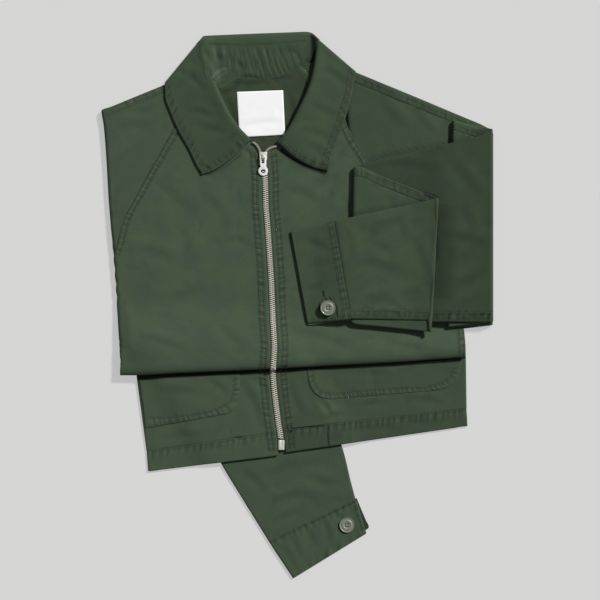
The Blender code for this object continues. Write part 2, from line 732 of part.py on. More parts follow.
# outer edge and roll line of each collar leaf as x, y, the heights there, the bow of the row and the
# height of the wall's middle where it reaches the neck seam
RIGHT_LEAF_ROWS = [
    # outer_x, outer_y, roll_x, roll_y, outer_z, roll_z, bow, seat_z
    (-158, 267, -113, 322, 10.1, 11.0, 0, 7.6), (-158, 252, -110.5, 290, 10.1, 12.4, 0, 7.6),
    (-150, 228, -102, 268, 10.1, 14.0, 0, 7.6), (-142, 210, -95, 252, 10.1, 15.0, 0, 7.6),
    (-129, 187, -83, 227, 10.1, 15.0, 0, 7.6), (-120, 168, -71, 210, 10.1, 14.8, -2, 10.0),
    (-114, 157, -58, 197, 10.1, 13.6, -6, 10.3),
]
LEFT_LEAF_ROWS = [
    (70, 280, 27, 317, 10.1, 11.0, 0, 7.6), (67, 264, 25, 297, 10.1, 12.4, 0, 7.6),
    (64, 248, 21, 274, 10.1, 14.0, 0, 7.6), (59, 230, 14, 253, 10.1, 15.0, 0, 7.6),
    (53, 212, 6, 236, 10.1, 15.4, 0, 7.6), (47, 196, -2, 220, 10.1, 15.0, -1, 8.0),
    (41, 179, -10, 206, 10.1, 14.8, -3, 10.0), (37, 162, -21, 194, 10.1, 13.6, -6, 10.3),
]


def leaf_rows(table):
    rows = []
    for outer_x, outer_y, roll_x, roll_y, outer_z, roll_z, bow, seat_z in table:
        outer, roll = np.array([outer_x, outer_y], float), np.array([roll_x, roll_y], float)
        inward = (roll - outer) / math.dist(roll, outer)
        row = []
        for s in np.linspace(0.0, 1.0, LEAF_STEPS + 1):
            place = mix(outer, roll, s) + np.array([0.0, bow * 4.0 * s * (1.0 - s)])
            row.append((place[0], place[1], mix(outer_z, roll_z, s * s)))
        for reach, drop in ROLL:
            place = roll + inward * reach
            row.append((place[0], place[1], mix(roll_z, seat_z, drop)))
        rows.append(row)
    return rows


def collar_leaves():
    sheet("collar_leaf_right", leaf_rows(RIGHT_LEAF_ROWS), COLLAR_CLOTH, (OLIVE, 0.92))
    sheet("collar_leaf_left", leaf_rows(LEFT_LEAF_ROWS), COLLAR_CLOTH, (OLIVE, 0.92))


# share of the way from the neck seam to the collar's top edge, and height
COLLAR_BACK_ROWS = [
    (0.0, 5.2), (0.25, 6.4), (0.5, 8.0), (0.75, 9.2), (0.9, 9.0), (0.98, 7.6), (1.0, 5.8), (0.96, 4.2),
]


def collar_back():
    rows = []
    for share, height in COLLAR_BACK_ROWS:
        row = []
        for s in np.linspace(0.0, 1.0, 9):
            x = mix(mix(-106.0, 18.5, s), mix(-107.5, 19.5, s), share)
            top_y = mix(322.0, 325.5, s) - 4.0 * smooth((s - 0.85) / 0.15)
            y = mix(mix(289.3, 292.3, s), top_y, share)
            row.append((x, y, height))
        rows.append(row)
    sheet("collar_back", rows[::-1], COLLAR_CLOTH, (OLIVE, 0.92))


def back_neck():
    rows = []
    for y, x_right, x_left in (
        (288.0, -114.0, 25.0), (268.0, -107.0, 24.0), (250.0, -99.0, 20.0), (228.0, -88.0, 12.0),
        (210.0, -79.0, 2.0), (196.0, -70.0, -8.0), (184.0, -60.0, -20.0),
    ):
        row = [(mix(x_right, x_left, s), y + 3.0 * s, BACK_NECK_Z) for s in np.linspace(0.0, 1.0, 7)]
        rows.append(row)
    sheet("back_neck", rows, CLOTH, (OLIVE, 0.92))


LABEL_CLOTH = 1.0


def label():
    top, bottom = ((-72.0, 256.0), (-17.0, 258.0)), ((-69.0, 202.0), (-14.5, 205.0))
    height = BACK_NECK_Z + CLOTH / 2.0 + GAP + LABEL_CLOTH / 2.0
    rows = []
    for share in (0.0, 0.33, 0.67, 1.0):
        ends = [mix(np.array(a), np.array(b), share) for a, b in zip(top, bottom)]
        rows.append([(*mix(ends[0], ends[1], s), height) for s in (0.0, 0.33, 0.67, 1.0)])
    sheet("label", rows, LABEL_CLOTH, (LABEL_WHITE, 0.85))


# ---------------------------------------------------------------- zip

ZIP_WALL = 2.0
ZIP_LIFT = 0.4


def strip(name, stations, place, wall, look):
    rows = []
    for station in stations:
        rows.append([place(station, side) for side in (-1.0, 0.0, 1.0)])
    sheet(name, rows, wall, look)


def zip_upper():
    line = waist_line(-28.0)
    flat = [181.5, 160, 140, 120, 100, 80, 60, 40, 22, 8, -2, -10, -18, -26, -34, -42, -50, -58, -66]
    rows = []
    for y in flat:
        row = [(x_at(ZIP, y) + side * ZIP_HALF, y) for side in (-1.0, 0.0, 1.0)]
        rows.append([(x, y, float(front_height(x, y)) + ZIP_LIFT) for x, y in row])
    for turn, run_back in WAIST_TURNS:
        row = [x_at(ZIP, line) + side * ZIP_HALF for side in (-1.0, 0.0, 1.0)]
        rows.append([turn_waist(x, turn, run_back, ZIP_LIFT) for x in row])
    sheet("zip_upper", rows, ZIP_WALL, (METAL, 0.45, 0.8))


def zip_lower():
    def place(y, side):
        x = x_at(ZIP, y) + side * ZIP_HALF
        return (x, y, HEM_FRONT_Z + ZIP_LIFT + float(over_sleeve(x, y)))

    strip("zip_lower", np.linspace(-60.0, -161.0, 11), place, ZIP_WALL, (METAL, 0.45, 0.8))


# x, y of the middle of each open tape end above the slider
TAPE_END_RIGHT = [(-52.5, 191.0), (-49.0, 188.6), (-46.0, 185.4)]
TAPE_END_LEFT = [(-25.5, 189.4), (-30.0, 188.4), (-35.0, 185.4)]
TAPE_HALF = 1.8


def tape_ends():
    for name, line in (("zip_tape_right", TAPE_END_RIGHT), ("zip_tape_left", TAPE_END_LEFT)):
        first, last = np.array(line[0], float), np.array(line[-1], float)
        run = (last - first) / math.dist(first, last)
        across = np.array([-run[1], run[0]])

        def place(share, side, line=line, across=across):
            x, y = along(line, share) + across * side * TAPE_HALF
            return (x, y, CHEST_Z + CLOTH + 2.0 * GAP)

        strip(name, np.linspace(0.0, 1.0, 5), place, CLOTH, (OLIVE_DARK, 0.9))


def box_mesh(size, centre):
    corners = np.array([(x, y, z) for x in (-0.5, 0.5) for y in (-0.5, 0.5) for z in (-0.5, 0.5)])
    faces = [(0, 1, 3, 2), (4, 6, 7, 5), (0, 4, 5, 1), (2, 3, 7, 6), (0, 2, 6, 4), (1, 5, 7, 3)]
    return corners * np.array(size) + np.array(centre), faces


def bevelled(made, width):
    step = made.modifiers.new("edges", "BEVEL")
    step.width = width * MM
    step.segments = 2
    return made


SLIDER_AT = (-40.5, 178.5)
SLIDER_BODY = (9.4, 10.0, 2.0)
ZIP_TOP_Z = CHEST_Z + ZIP_LIFT + ZIP_WALL / 2.0
SLIDER_BASE_Z = ZIP_TOP_Z + GAP
HINGE_ABOVE_BODY = 1.4
HINGE_Z = SLIDER_BASE_Z + SLIDER_BODY[2] + HINGE_ABOVE_BODY
BRIDGE_HALF_WIDTH = 1.2
BRIDGE_WINDOW_HALF = 1.7
BRIDGE_POST = 1.1
BRIDGE_BAR = 0.9
BRIDGE_RISE = 1.1  # from the hinge's axis to the underside of the bar
BRIDGE_BEVEL = 0.8
METAL_BEVEL = 0.6


def slider():
    x, y = SLIDER_AT
    points, faces = box_mesh(SLIDER_BODY, (x, y + 0.5, SLIDER_BASE_Z + SLIDER_BODY[2] / 2.0))
    body = bevelled(add_object("slider", points, faces, (METAL, 0.4, 0.9)), METAL_BEVEL)
    low, reach = SLIDER_BASE_Z + 1.0, BRIDGE_WINDOW_HALF + BRIDGE_POST
    under = HINGE_Z + BRIDGE_RISE
    top = under + BRIDGE_BAR
    window, bevel = BRIDGE_WINDOW_HALF, BRIDGE_BEVEL
    outline = [
        (-reach, low), (-reach, top - bevel), (-reach + bevel, top), (reach - bevel, top),
        (reach, top - bevel), (reach, low), (window, low), (window, under), (-window, under),
        (-window, low),
    ]
    count = len(outline)
    vertices = [(x + side * BRIDGE_HALF_WIDTH, y + u, z) for side in (-1.0, 1.0) for u, z in outline]
    sides = [((k + 1) % count, k, k + count, (k + 1) % count + count) for k in range(count)]
    caps = [tuple(range(count)), tuple(range(2 * count - 1, count - 1, -1))]
    bridge = add_object("slider_bridge", vertices, sides + caps, (METAL, 0.4, 0.9))
    turn_out(bridge)
    bridge.hide_render = True
    bridge.display_type = "WIRE"
    join = body.modifiers.new("bridge", "BOOLEAN")
    join.operation = "UNION"
    join.object = bridge


def turn_out(made):
    shape = bmesh.new()
    shape.from_mesh(made.data)
    bmesh.ops.recalc_face_normals(shape, faces=shape.faces)
    shape.to_mesh(made.data)
    shape.free()


TAB_HALF_THICK = 0.6
TAB_NECK_HALF = 3.7
TAB_BAR = 0.75  # from the hinge's axis to the edges of the bar that it turns on
TAB_SLOT_END = 5.0
TAB_SLOT_HALF = 1.65
TAB_RING_AT = 17.4
TAB_RING_RADIUS = 5.7
TAB_HOLE = (3.0, 2.4)  # half its width, half its length
TAB_HOLE_AT = 17.8
TAB_REST_ANGLE = 7.2  # degrees that the tab hangs below the level
TAB_WAIST_HALF = 3.0
TAB_WAIST_Y = 8.0
TAB_BEVEL = 0.3
TAB_ROUND = 20
TAB_HOLE_SIDES = 16


def pull_tab():
    """Flat metal tab with a slot round the slider's bridge and a ring at its end."""
    curve = bpy.data.curves.new("pull_tab", "CURVE")
    curve.dimensions = "2D"
    curve.fill_mode = "BOTH"
    curve.extrude = TAB_HALF_THICK * MM
    bar, half, waist, bevel, wide = TAB_BAR, TAB_NECK_HALF, TAB_WAIST_HALF, TAB_BEVEL, TAB_SLOT_HALF
    join = TAB_RING_AT - math.sqrt(TAB_RING_RADIUS**2 - waist**2)
    outline = [(-half, bar - bevel), (-half + bevel, bar), (half - bevel, bar), (half, bar - bevel)]
    outline += [(half, -TAB_WAIST_Y), (waist, -join)]
    start = math.asin(waist / TAB_RING_RADIUS)
    for a in np.linspace(start, 2.0 * math.pi - start, TAB_ROUND + 1)[1:-1]:
        across, back = TAB_RING_RADIUS * math.sin(a), TAB_RING_RADIUS * math.cos(a)
        outline.append((across, back - TAB_RING_AT))
    outline += [(-waist, -join), (-half, -TAB_WAIST_Y)]
    slot = [(-wide, -bar), (-wide, -TAB_SLOT_END), (wide, -TAB_SLOT_END), (wide, -bar)]
    hole = []
    for a in np.linspace(0.0, 2.0 * math.pi, TAB_HOLE_SIDES, endpoint=False):
        hole.append((TAB_HOLE[0] * math.cos(a), TAB_HOLE[1] * math.sin(a) - TAB_HOLE_AT))
    for points in (outline, slot, hole):
        spline = curve.splines.new("POLY")
        spline.points.add(len(points) - 1)
        for place, (x, y) in zip(spline.points, points):
            place.co = (x * MM, y * MM, 0.0, 1.0)
        spline.use_cyclic_u = True
    curve.materials.append(material("pull_tab", METAL, 0.4, 0.9))
    made = bpy.data.objects.new("pull_tab", curve)
    bpy.context.scene.collection.objects.link(made)
    made.location = (SLIDER_AT[0] * MM, SLIDER_AT[1] * MM, HINGE_Z * MM)
    made.rotation_euler = (math.radians(TAB_REST_ANGLE), 0.0, 0.0)


ZIP_BOX = (7.2, 12.0, 3.0)
ZIP_BOX_Y = -167.6


def zip_box():
    x = x_at(ZIP, ZIP_BOX_Y)
    height = HEM_FRONT_Z + ZIP_LIFT + float(over_sleeve(x, ZIP_BOX_Y)) + GAP
    points, faces = box_mesh(ZIP_BOX, (x, ZIP_BOX_Y, height))
    bevelled(add_object("zip_box", points, faces, (METAL, 0.4, 0.9)), METAL_BEVEL)


# ---------------------------------------------------------------- buttons

# radius and height above the button's seat, from the middle of its underside to that of its top
BUTTON_PROFILE = [(7.6, 0.0), (9.0, 0.7), (9.0, 1.9), (8.3, 2.6), (7.2, 2.6), (6.4, 1.8)]
BUTTON_SIDES = 24
BUTTON_RIGHT_AT = (60.0, -264.0)
BUTTON_LEFT_AT = (37.0, -3.0)


def button(name, x, y, seat):
    vertices, faces = [(x, y, seat)], []
    for radius, up in BUTTON_PROFILE:
        for k in range(BUTTON_SIDES):
            a = 2.0 * math.pi * k / BUTTON_SIDES
            vertices.append((x + radius * math.cos(a), y + radius * math.sin(a), seat + up))
    vertices.append((x, y, seat + BUTTON_PROFILE[-1][1]))
    last = len(BUTTON_PROFILE) - 1
    for k in range(BUTTON_SIDES):
        after = (k + 1) % BUTTON_SIDES
        faces.append((0, 1 + after, 1 + k))
        for ring in range(last):
            low, high = 1 + ring * BUTTON_SIDES, 1 + (ring + 1) * BUTTON_SIDES
            faces.append((low + k, low + after, high + after, high + k))
        top = 1 + last * BUTTON_SIDES
        faces.append((top + k, top + after, len(vertices) - 1))
    add_object(name, vertices, faces, (HORN, 0.5))


def buttons():
    half = CUFF_HALF + CUFF_CLOTH / 2.0 + GAP
    button("button_right", *BUTTON_RIGHT_AT, cuff_right_height(*BUTTON_RIGHT_AT) + half)
    x, y = BUTTON_LEFT_AT
    reach = max(radius for radius, _ in BUTTON_PROFILE)
    seat = max(float(cuff_left_height(x + across, y)) for across in (-reach, 0.0, reach))
    button("button_left", x, y, seat + half)


def main():
    for old in list(bpy.data.objects):
        bpy.data.objects.remove(old)
    hidden_layers()
    waist_layers()
    sleeve_right_end()
    back_lower()
    lower_fronts()
    hem_bands()
    pockets()
    back_neck()
    label()
    front_right()
    front_left()
    sleeve_right_head()
    sleeve_left()
    cuffs()
    collar_leaves()
    collar_back()
    zip_upper()
    zip_lower()
    tape_ends()
    slider()
    pull_tab()
    zip_box()
    buttons()


main()
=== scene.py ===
"""Looks of a folded zip jacket of washed dark green cotton twill, lying front up.

Lengths are in millimetres until a mesh is made. X runs to the right of the view from above,
Y towards the collar and Z up. "right" and "left" in the names are the wearer's.
"""

import math

import bmesh
import bpy
import numpy as np
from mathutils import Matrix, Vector
from mathutils.bvhtree import BVHTree


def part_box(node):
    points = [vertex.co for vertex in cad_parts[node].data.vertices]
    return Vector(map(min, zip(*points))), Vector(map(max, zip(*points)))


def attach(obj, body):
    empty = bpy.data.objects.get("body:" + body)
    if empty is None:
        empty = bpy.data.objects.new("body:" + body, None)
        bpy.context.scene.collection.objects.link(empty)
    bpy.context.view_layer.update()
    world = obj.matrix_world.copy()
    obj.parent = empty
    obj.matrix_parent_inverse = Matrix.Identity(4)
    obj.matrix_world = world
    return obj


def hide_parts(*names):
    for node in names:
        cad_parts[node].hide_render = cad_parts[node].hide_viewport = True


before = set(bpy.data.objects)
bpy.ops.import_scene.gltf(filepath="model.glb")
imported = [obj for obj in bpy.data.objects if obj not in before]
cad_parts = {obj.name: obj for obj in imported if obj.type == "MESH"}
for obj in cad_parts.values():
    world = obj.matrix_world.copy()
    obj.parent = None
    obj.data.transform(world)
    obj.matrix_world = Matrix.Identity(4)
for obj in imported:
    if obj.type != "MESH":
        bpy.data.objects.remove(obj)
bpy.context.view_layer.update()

MM = 0.001
GAP = 0.3  # between two pieces at a seam
SLANTED_GAP = 0.9  # the same across a slanted seam, measured along X
GRIDS = {}


def lay(name, points, wall):
    """Keeps a piece's grid of points, in the middle of its wall, until it is dressed."""
    GRIDS[name] = (np.asarray(points, float), wall)


# Cloth and layers
CLOTH = 1.2  # wall of a front, back or pocket
SLEEVE_CLOTH = 1.1
COLLAR_CLOTH = 2.2  # upper and under collar with the interfacing between
TUBE_HALF = 1.0  # from a flattened sleeve's middle to the middle of either wall
TUBE_RIM = TUBE_HALF + SLEEVE_CLOTH / 2
LAYER = 3.8  # from one sleeve layer to the next
LIE = 0.6  # height of a wall's middle where it lies on the surface

# Heights of the middle of the front's wall
CHEST_Z = 8.0
SIDE_Z = 2.65
WAIST_Z = 12.2
BACK_NECK_Z = 4.6
HEM_BACK_Z = 0.6
HEM_FRONT_Z = 2.7
POCKET_LIFT = 1.0
WAIST_ROLL = 2.8  # radius of the waist fold
FOLD_LENGTH = 23.4  # cloth that turns round a fold and runs back under it
FOLD_STEP = 1.45  # between two points of the cloth that turns round the right edge
FOLD_STEPS = 16
LEAST_ROLL = 0.6  # radius of the right edge's turn where it is pressed flat
HEM_PRESS = 1.5  # by which the top sleeve layer's lower edge is pressed into the one below
BEND = (45, 90, 135, 180)  # degrees round the edge of a flattened tube


# ---------------------------------------------------------------- numbers and outlines


def smooth(share):
    share = np.clip(share, 0, 1)
    return share * share * (3.0 - 2.0 * share)


def mix(first, last, share):
    return first + (last - first) * share


def lengths(line):
    """The length of a polyline up to each of its points."""
    return np.concatenate([[0.0], np.cumsum(np.linalg.norm(np.diff(line, axis=0), axis=1))])


def read(line, run, places):
    """The points of a line at these lengths along it, given its own lengths."""
    return np.stack([np.interp(places, run, line[:, k]) for k in range(line.shape[1])], axis=-1)


def along(line, share):
    """The point at this share of a polyline's length."""
    line = np.asarray(line, float)
    run = lengths(line)
    return read(line, run, share * run[-1])


def x_at(line, y):
    """The x of a polyline that runs down the jacket, at this y."""
    line = np.asarray(line, float)
    return float(np.interp(-y, -line[:, 1], line[:, 0]))


# x, y of the jacket's edge on the wearer's right, from the collar down to the waist fold
RIGHT_EDGE = [
    (-235, 234), (-231, 205), (-229, 174), (-226, 120), (-221, 64), (-218, 24), (-211, -84),
]
# x, y of the right raglan seam, from the collar to where it goes round the edge
RIGHT_RAGLAN = [(-133, 242), (-148, 213), (-164, 185), (-188, 142), (-210, 100), (-217, 72)]
SEAM_RUNS_BACK = 0.333  # mm round the fold for each mm down, below the raglan seam's end
# x, y of the left raglan seam, from the collar to the underarm, then down the side
LEFT_RAGLAN = [
    (55, 242), (58, 222), (66, 204), (83, 177), (114, 122), (145, 66), (176, 10), (200.5, -27),
    (202, -48), (202, -60),
]
# x, y of the zip's middle
ZIP = [
    (-41, 183), (-38, 150), (-38, 126), (-35, 90), (-31, 30), (-29, -18), (-27, -48), (-28, -66),
    (-29, -80), (-28, -96), (-26, -114), (-23, -138), (-20, -156), (-18, -174),
]
ZIP_HALF = 4.0
# x, y of the edge of the waist fold as seen from above
WAIST_EDGE = [(-212, -84), (-193, -84), (-140, -81), (-68, -78), (28, -73), (124, -68), (203, -62)]
# x, y of the edges of the lower part
LOWER_RIGHT_EDGE = [(-195.5, -56), (-193, -85), (-181, -175), (-179, -199)]
LOWER_LEFT_EDGE = [(203, -56), (204, -124), (205, -145)]


def zip_side(y, side):
    """Where a front ends beside the zip, on its right (-1) or left (1)."""
    return x_at(ZIP, y) + side * (ZIP_HALF + 2.0 * GAP)


def waist_y(x):
    line = np.asarray(WAIST_EDGE, float)
    return np.interp(x, line[:, 0], line[:, 1])


# ---------------------------------------------------------------- heights of the layers


def over_sleeve(x, y):
    """How far the lower part is lifted where it lies over the sleeve folded behind."""
    across = (x + 20) * 0.85 + (y + 176) * 0.527
    return 3.6 * (1.0 - smooth((np.abs(across) - 68) / 34))


def front_height(x, y):
    """Middle of the upper front: it falls to the side and is raised over the waist layers."""
    chest = CHEST_Z - (CHEST_Z - SIDE_Z) * smooth((x - 124) / 98)
    start = mix(6, -22, smooth((x + 32) / 84))
    rise = smooth((start - y) / (start + 56)) * (1.0 - smooth((x - 203) / 11))
    return chest + rise * (WAIST_Z + over_sleeve(x, y) - chest)


def sleeve_height(x, y, layer):
    """Middle of the flattened left sleeve, in each of its six layers from the shoulder to the cuff."""
    base = front_height(x, y) - TUBE_HALF
    if layer <= 2:
        return base + LAYER * layer
    pleat = 2.0 * LAYER * smooth((x - 128) / 58)
    if layer < 5:
        return base + pleat + LAYER * (layer - 2)
    drop = 2.0 * LAYER * (1.0 - smooth((x - 12) / 50))
    pressed = HEM_PRESS * smooth((-4.0 - y) / 14) * smooth((x - 64) / 16)
    return base + pleat + LAYER * 3 - drop - pressed


def inside_height(x, y):
    """Top of the hidden layers: under the fronts, the sleeve and the back of the neck."""
    beside_seam = (x - 66) * 0.868 + (y - 204) * 0.496
    sleeve_step = 2.2 * smooth((beside_seam + 12) / 10)
    under_front = front_height(x, y + 6) - 1.5 - sleeve_step
    neck = smooth((y - 166) / 14) * (1.0 - smooth((np.abs(x + 46) - 80) / 14))
    return mix(under_front, BACK_NECK_Z - 1.1, neck)


# ---------------------------------------------------------------- body of the jacket


def side_roll(y):
    """Radius of the cloth's turn at the wearer's right edge, pressed flat near the waist fold."""
    full = (float(front_height(x_at(RIGHT_EDGE, y) + 4.3, y)) - LIE) / 2.0
    return mix(LEAST_ROLL, full, smooth((y + 68) / 28))


def fold_line_right(y):
    return x_at(RIGHT_EDGE, y) + side_roll(y) + CLOTH / 2.0


def fold_right(x, y):
    """Turns cloth that runs past the wearer's right edge round it and back underneath.

    x is measured along the cloth; the wall's middle ends on the surface below.
    """
    roll, line = side_roll(y), fold_line_right(y)
    past = line - x
    height = float(front_height(max(x, line), y))
    if past <= 0.0:
        return np.array([x, y, height])
    if past < math.pi * roll:
        turn = past / roll
        return np.array([line - roll * math.sin(turn), y, height - roll + roll * math.cos(turn)])
    return np.array([line + past - math.pi * roll, y, height - 2.0 * roll])


def waist_line(x):
    """y of the line where the waist fold starts to turn."""
    return float(waist_y(x)) + WAIST_ROLL + CLOTH / 2.0


def turn_waist(x, turn, run_back, lift=0):
    """A point of the cloth under the waist fold: degrees round it, then a share of its run back."""
    line = waist_line(x)
    back = run_back * min(WAIST_RUN_BACK, WAIST_RUN_END_Y - line)
    height = float(front_height(x, line + back))
    roll = WAIST_ROLL + lift
    angle = math.radians(turn)
    y = line - roll * math.sin(angle) + back
    return np.array([x, y, height - WAIST_ROLL + roll * math.cos(angle)])


def spread(length, steps):
    """Distances from the end of a row of cloth that turns round a fold, the first at its start."""
    step = min(FOLD_STEP, length / (steps + FOLD_STEPS))
    flat = np.linspace(length, step * FOLD_STEPS, steps + 1)
    turned = step * np.arange(FOLD_STEPS - 1, -1, -1)
    return np.concatenate([flat, turned])


def seam_past_fold(y):
    """Where the raglan seam lies round the right edge, as mm of cloth past the fold's line."""
    return (72.0 - y) * SEAM_RUNS_BACK


# y where a row of the right front meets its seam or edge, y where it meets the zip,
# and the cloth that it has past the edge's fold line
RIGHT_FRONT_STEPS = 6
RIGHT_FRONT_ROWS = [
    # y_edge, y_zip, past
    (242, 188, None), (226, 176, None), (207, 163, None), (185, 150, None),
    (163, 134, None), (142, 118, None), (120, 102, None), (100, 88, None),
    (84, 76, None), (72, 68, 0), (54, 52, 6), (36, 36, 12), (18, 20, 18),
    (2, 5, FOLD_LENGTH), (-10, -6, FOLD_LENGTH), (-20, -16, FOLD_LENGTH),
    (-30, -26, FOLD_LENGTH), (-40, -36, FOLD_LENGTH), (-47, -43.2, 18),
    (-54, -50.5, 11), (-61, -58, 6), (-69, -65, 2.4),
]
WAIST_RUN_BACK = 12.0
WAIST_RUN_END_Y = -57.6
# degrees round the waist fold, share of the run back under it
WAIST_TURNS = [
    (0, 0), (30, 0), (60, 0), (90, 0), (120, 0), (150, 0), (180, 0), (180, 1),
]


def front_right():
    rows = []
    for y_edge, y_zip, past in RIGHT_FRONT_ROWS:
        if past is None:
            start_x = x_at(RIGHT_RAGLAN, y_edge) + SLANTED_GAP
        else:
            start_x = fold_line_right(y_edge) - past + SLANTED_GAP
        end_x = zip_side(y_zip, -1)
        row = []
        for share in spread(end_x - start_x, RIGHT_FRONT_STEPS) / (end_x - start_x):
            row.append(fold_right(mix(start_x, end_x, share), mix(y_edge, y_zip, share)))
        rows.append(row)
    for turn, run_back in WAIST_TURNS:
        start_x = WAIST_EDGE[0][0] + GAP + 6.0 * smooth((turn - 90) / 60)
        end_x = zip_side(waist_line(-30), -1)
        shares = spread(end_x - start_x, RIGHT_FRONT_STEPS) / (end_x - start_x)
        rows.append([turn_waist(mix(start_x, end_x, s), turn, run_back) for s in shares])
    lay("front_right", [row[::-1] for row in rows], CLOTH)


# y where a row of the left front meets the zip, and y where it meets the raglan seam or the side
LEFT_FRONT_ROWS = [
    # y_zip, y_side
    (187, 242), (172, 222), (156, 204), (142, 184), (124, 160), (104, 132),
    (84, 104), (62, 76), (40, 48), (18, 20), (0, 0), (-14, -14),
    (-24, -24), (-33, -31), (-41, -38), (-49, -44.5), (-58, -51),
]
FRONT_COLUMNS = 11


def front_left():
    shares = np.linspace(0, 1, FRONT_COLUMNS + 1)
    rows = []
    for y_zip, y_side in LEFT_FRONT_ROWS:
        start_x, end_x = zip_side(y_zip, 1), x_at(LEFT_RAGLAN, y_side) - GAP
        row = []
        for share in shares:
            x, y = mix(start_x, end_x, share), mix(y_zip, y_side, share)
            row.append((x, y, float(front_height(x, y))))
        rows.append(row)
    start_x, end_x = zip_side(waist_line(-25), 1), LEFT_RAGLAN[-1][0] - GAP
    for turn, run_back in WAIST_TURNS:
        rows.append([turn_waist(mix(start_x, end_x, share), turn, run_back) for share in shares])
    lay("front_left", rows, CLOTH)


# x, y of the right sleeve head's outer edge, x, y on its raglan seam and the way out of the edge,
# from the collar down
SLEEVE_HEAD_ROWS = [
    # edge_x, edge_y, seam_x, seam_y, outward_x, outward_y
    (-157, 266, -133, 242, -0.38, 0.925),
    (-175, 258.6, -137, 234, -0.38, 0.925),
    (-200, 248.4, -143, 223, -0.38, 0.925),
    (-224, 238.5, -150, 209.5, -0.5, 0.866),
    (-235, 234, -156, 199, -0.83, 0.56),
    (-232.2, 215, -162, 188.5, -0.98, 0.1),
]


def head_point(edge, outward, past):
    """A point of the sleeve head: past is mm of cloth beyond the fold's line."""
    roll = (CHEST_Z - LIE) / 2.0
    centre = edge - outward * (roll + CLOTH / 2)
    if past < math.pi * roll:
        turn = past / roll
        place = centre + outward * roll * math.sin(turn)
        return np.array([place[0], place[1], CHEST_Z - roll + roll * math.cos(turn)])
    place = centre - outward * (past - math.pi * roll)
    return np.array([place[0], place[1], CHEST_Z - 2.0 * roll])


def sleeve_right_head():
    rows = []
    for edge_x, edge_y, seam_x, seam_y, out_x, out_y in SLEEVE_HEAD_ROWS:
        outward = np.array([out_x, out_y]) / math.hypot(out_x, out_y)
        edge = np.array([edge_x, edge_y])
        line = edge - outward * ((CHEST_Z - LIE) / 2.0 + CLOTH / 2)
        seam = np.array([seam_x, seam_y])
        flat = math.dist(line, seam)
        row = []
        for from_end in spread(flat + FOLD_LENGTH, 4):
            past = FOLD_LENGTH - from_end
            if past <= 0.0:
                place = mix(line, seam, -past / flat)
                row.append(np.array([place[0], place[1], CHEST_Z]))
            else:
                row.append(head_point(edge, outward, past))
        rows.append(row)
    for y in (172, 150, 128, 104, 86, 72, 54, 36, 22):
        seam_x = x_at(RIGHT_RAGLAN, y) if y >= 72.0 else fold_line_right(y) - seam_past_fold(y)
        end_x = fold_line_right(y) - FOLD_LENGTH
        rows.append([fold_right(end_x + d, y) for d in spread(seam_x - end_x, 4)])
    lay("sleeve_right_head", rows, CLOTH)


# x, y of the hidden layers' outline at their left and right ends, from the neck to the waist
HIDDEN_ROWS = [
    # x_right, y_right, x_left, y_left
    (-107, 315, 20, 315), (-130, 290, 42, 296), (-152, 259, 64, 273), (-191, 242, 118, 250),
    (-225, 227, 168, 229), (-225, 204, 169, 206), (-223, 180, 170, 182), (-219, 130, 171, 130),
    (-216, 85, 172, 85), (-212, 40, 173, 40), (-210.5, 12, 174, 12), (-210, -6, 175, -6),
    (-209, -18, 178, -18), (-207.5, -30, 184, -28), (-206, -42, 190, -40), (-205, -54, 195, -54),
]
HIDDEN_COLUMNS = 12
HIDDEN_LEVELS = [
    # share of height, mm in: three rounded layers with a groove between each two
    (0.88, -1.8), (0.76, -1.8), (0.70, -0.2), (0.62, -2), (0.48, -2), (0.42, -0.2), (0.34, -1.2),
    (0.26, 15), (0, 15),
]


def hidden_layers():
    plan = []
    for x_right, y_right, x_left, y_left in HIDDEN_ROWS:
        shares = np.linspace(0, 1, HIDDEN_COLUMNS + 1)
        plan.append([(mix(x_right, x_left, s), mix(y_right, y_left, s)) for s in shares])
    return block("hidden_layers", plan, inside_height, HIDDEN_LEVELS)


def waist_layers():
    """The back and the turned-up cloth inside the waist fold."""
    rows, walls = [], []
    for share, wall in ((0, 2.4), (0.5, 2.4), (0.86, 2.4), (0.95, 2), (1, 1.2)):
        row = []
        for x in np.linspace(-203, 194, 21):
            line = waist_line(x)
            y = mix(-57.2, line + 0.6, share)
            row.append((x, y, float(front_height(x, y)) - WAIST_ROLL - 0.5))
        rows.append(row)
        walls.append([wall] * 21)
    lay("waist_layers", rows, walls)


# ---------------------------------------------------------------- lower part and hem

LOWER_START_Y = -58.0
LOWER_COLUMNS_RIGHT = 11
LOWER_COLUMNS_LEFT = 14
# y at the side and at the zip
BAND_SEAM_RIGHT = (-175, -152)
BAND_SEAM_LEFT = (-124, -148.5)
HEM_RIGHT = (-199, -180)
HEM_LEFT = (-145, -176.5)


def lower_row(left_end, right_end, count, turn_at, height):
    """Points of one row of the lower part; turn_at is -1 or 1 for the end that turns round the side."""
    centre_r = (HEM_FRONT_Z - HEM_BACK_Z) / 2.0
    left_end, right_end = np.array(left_end, float), np.array(right_end, float)
    if turn_at < 0:
        left_end = left_end + (centre_r + CLOTH / 2, 0)
    else:
        right_end = right_end - (centre_r + CLOTH / 2, 0)
    flat = [mix(left_end, right_end, s) for s in np.linspace(0, 1, count + 1)]
    row = [np.array([p[0], p[1], height + float(over_sleeve(p[0], p[1]))]) for p in flat]
    end = row[0] if turn_at < 0 else row[-1]
    turned = []
    for angle in BEND:
        a = math.radians(angle)
        turned.append(end + (turn_at * centre_r * math.sin(a), 0, -centre_r + centre_r * math.cos(a)))
    turned.append(turned[-1] + (-turn_at * 4, 0, 0))
    return turned[::-1] + row if turn_at < 0 else row + turned


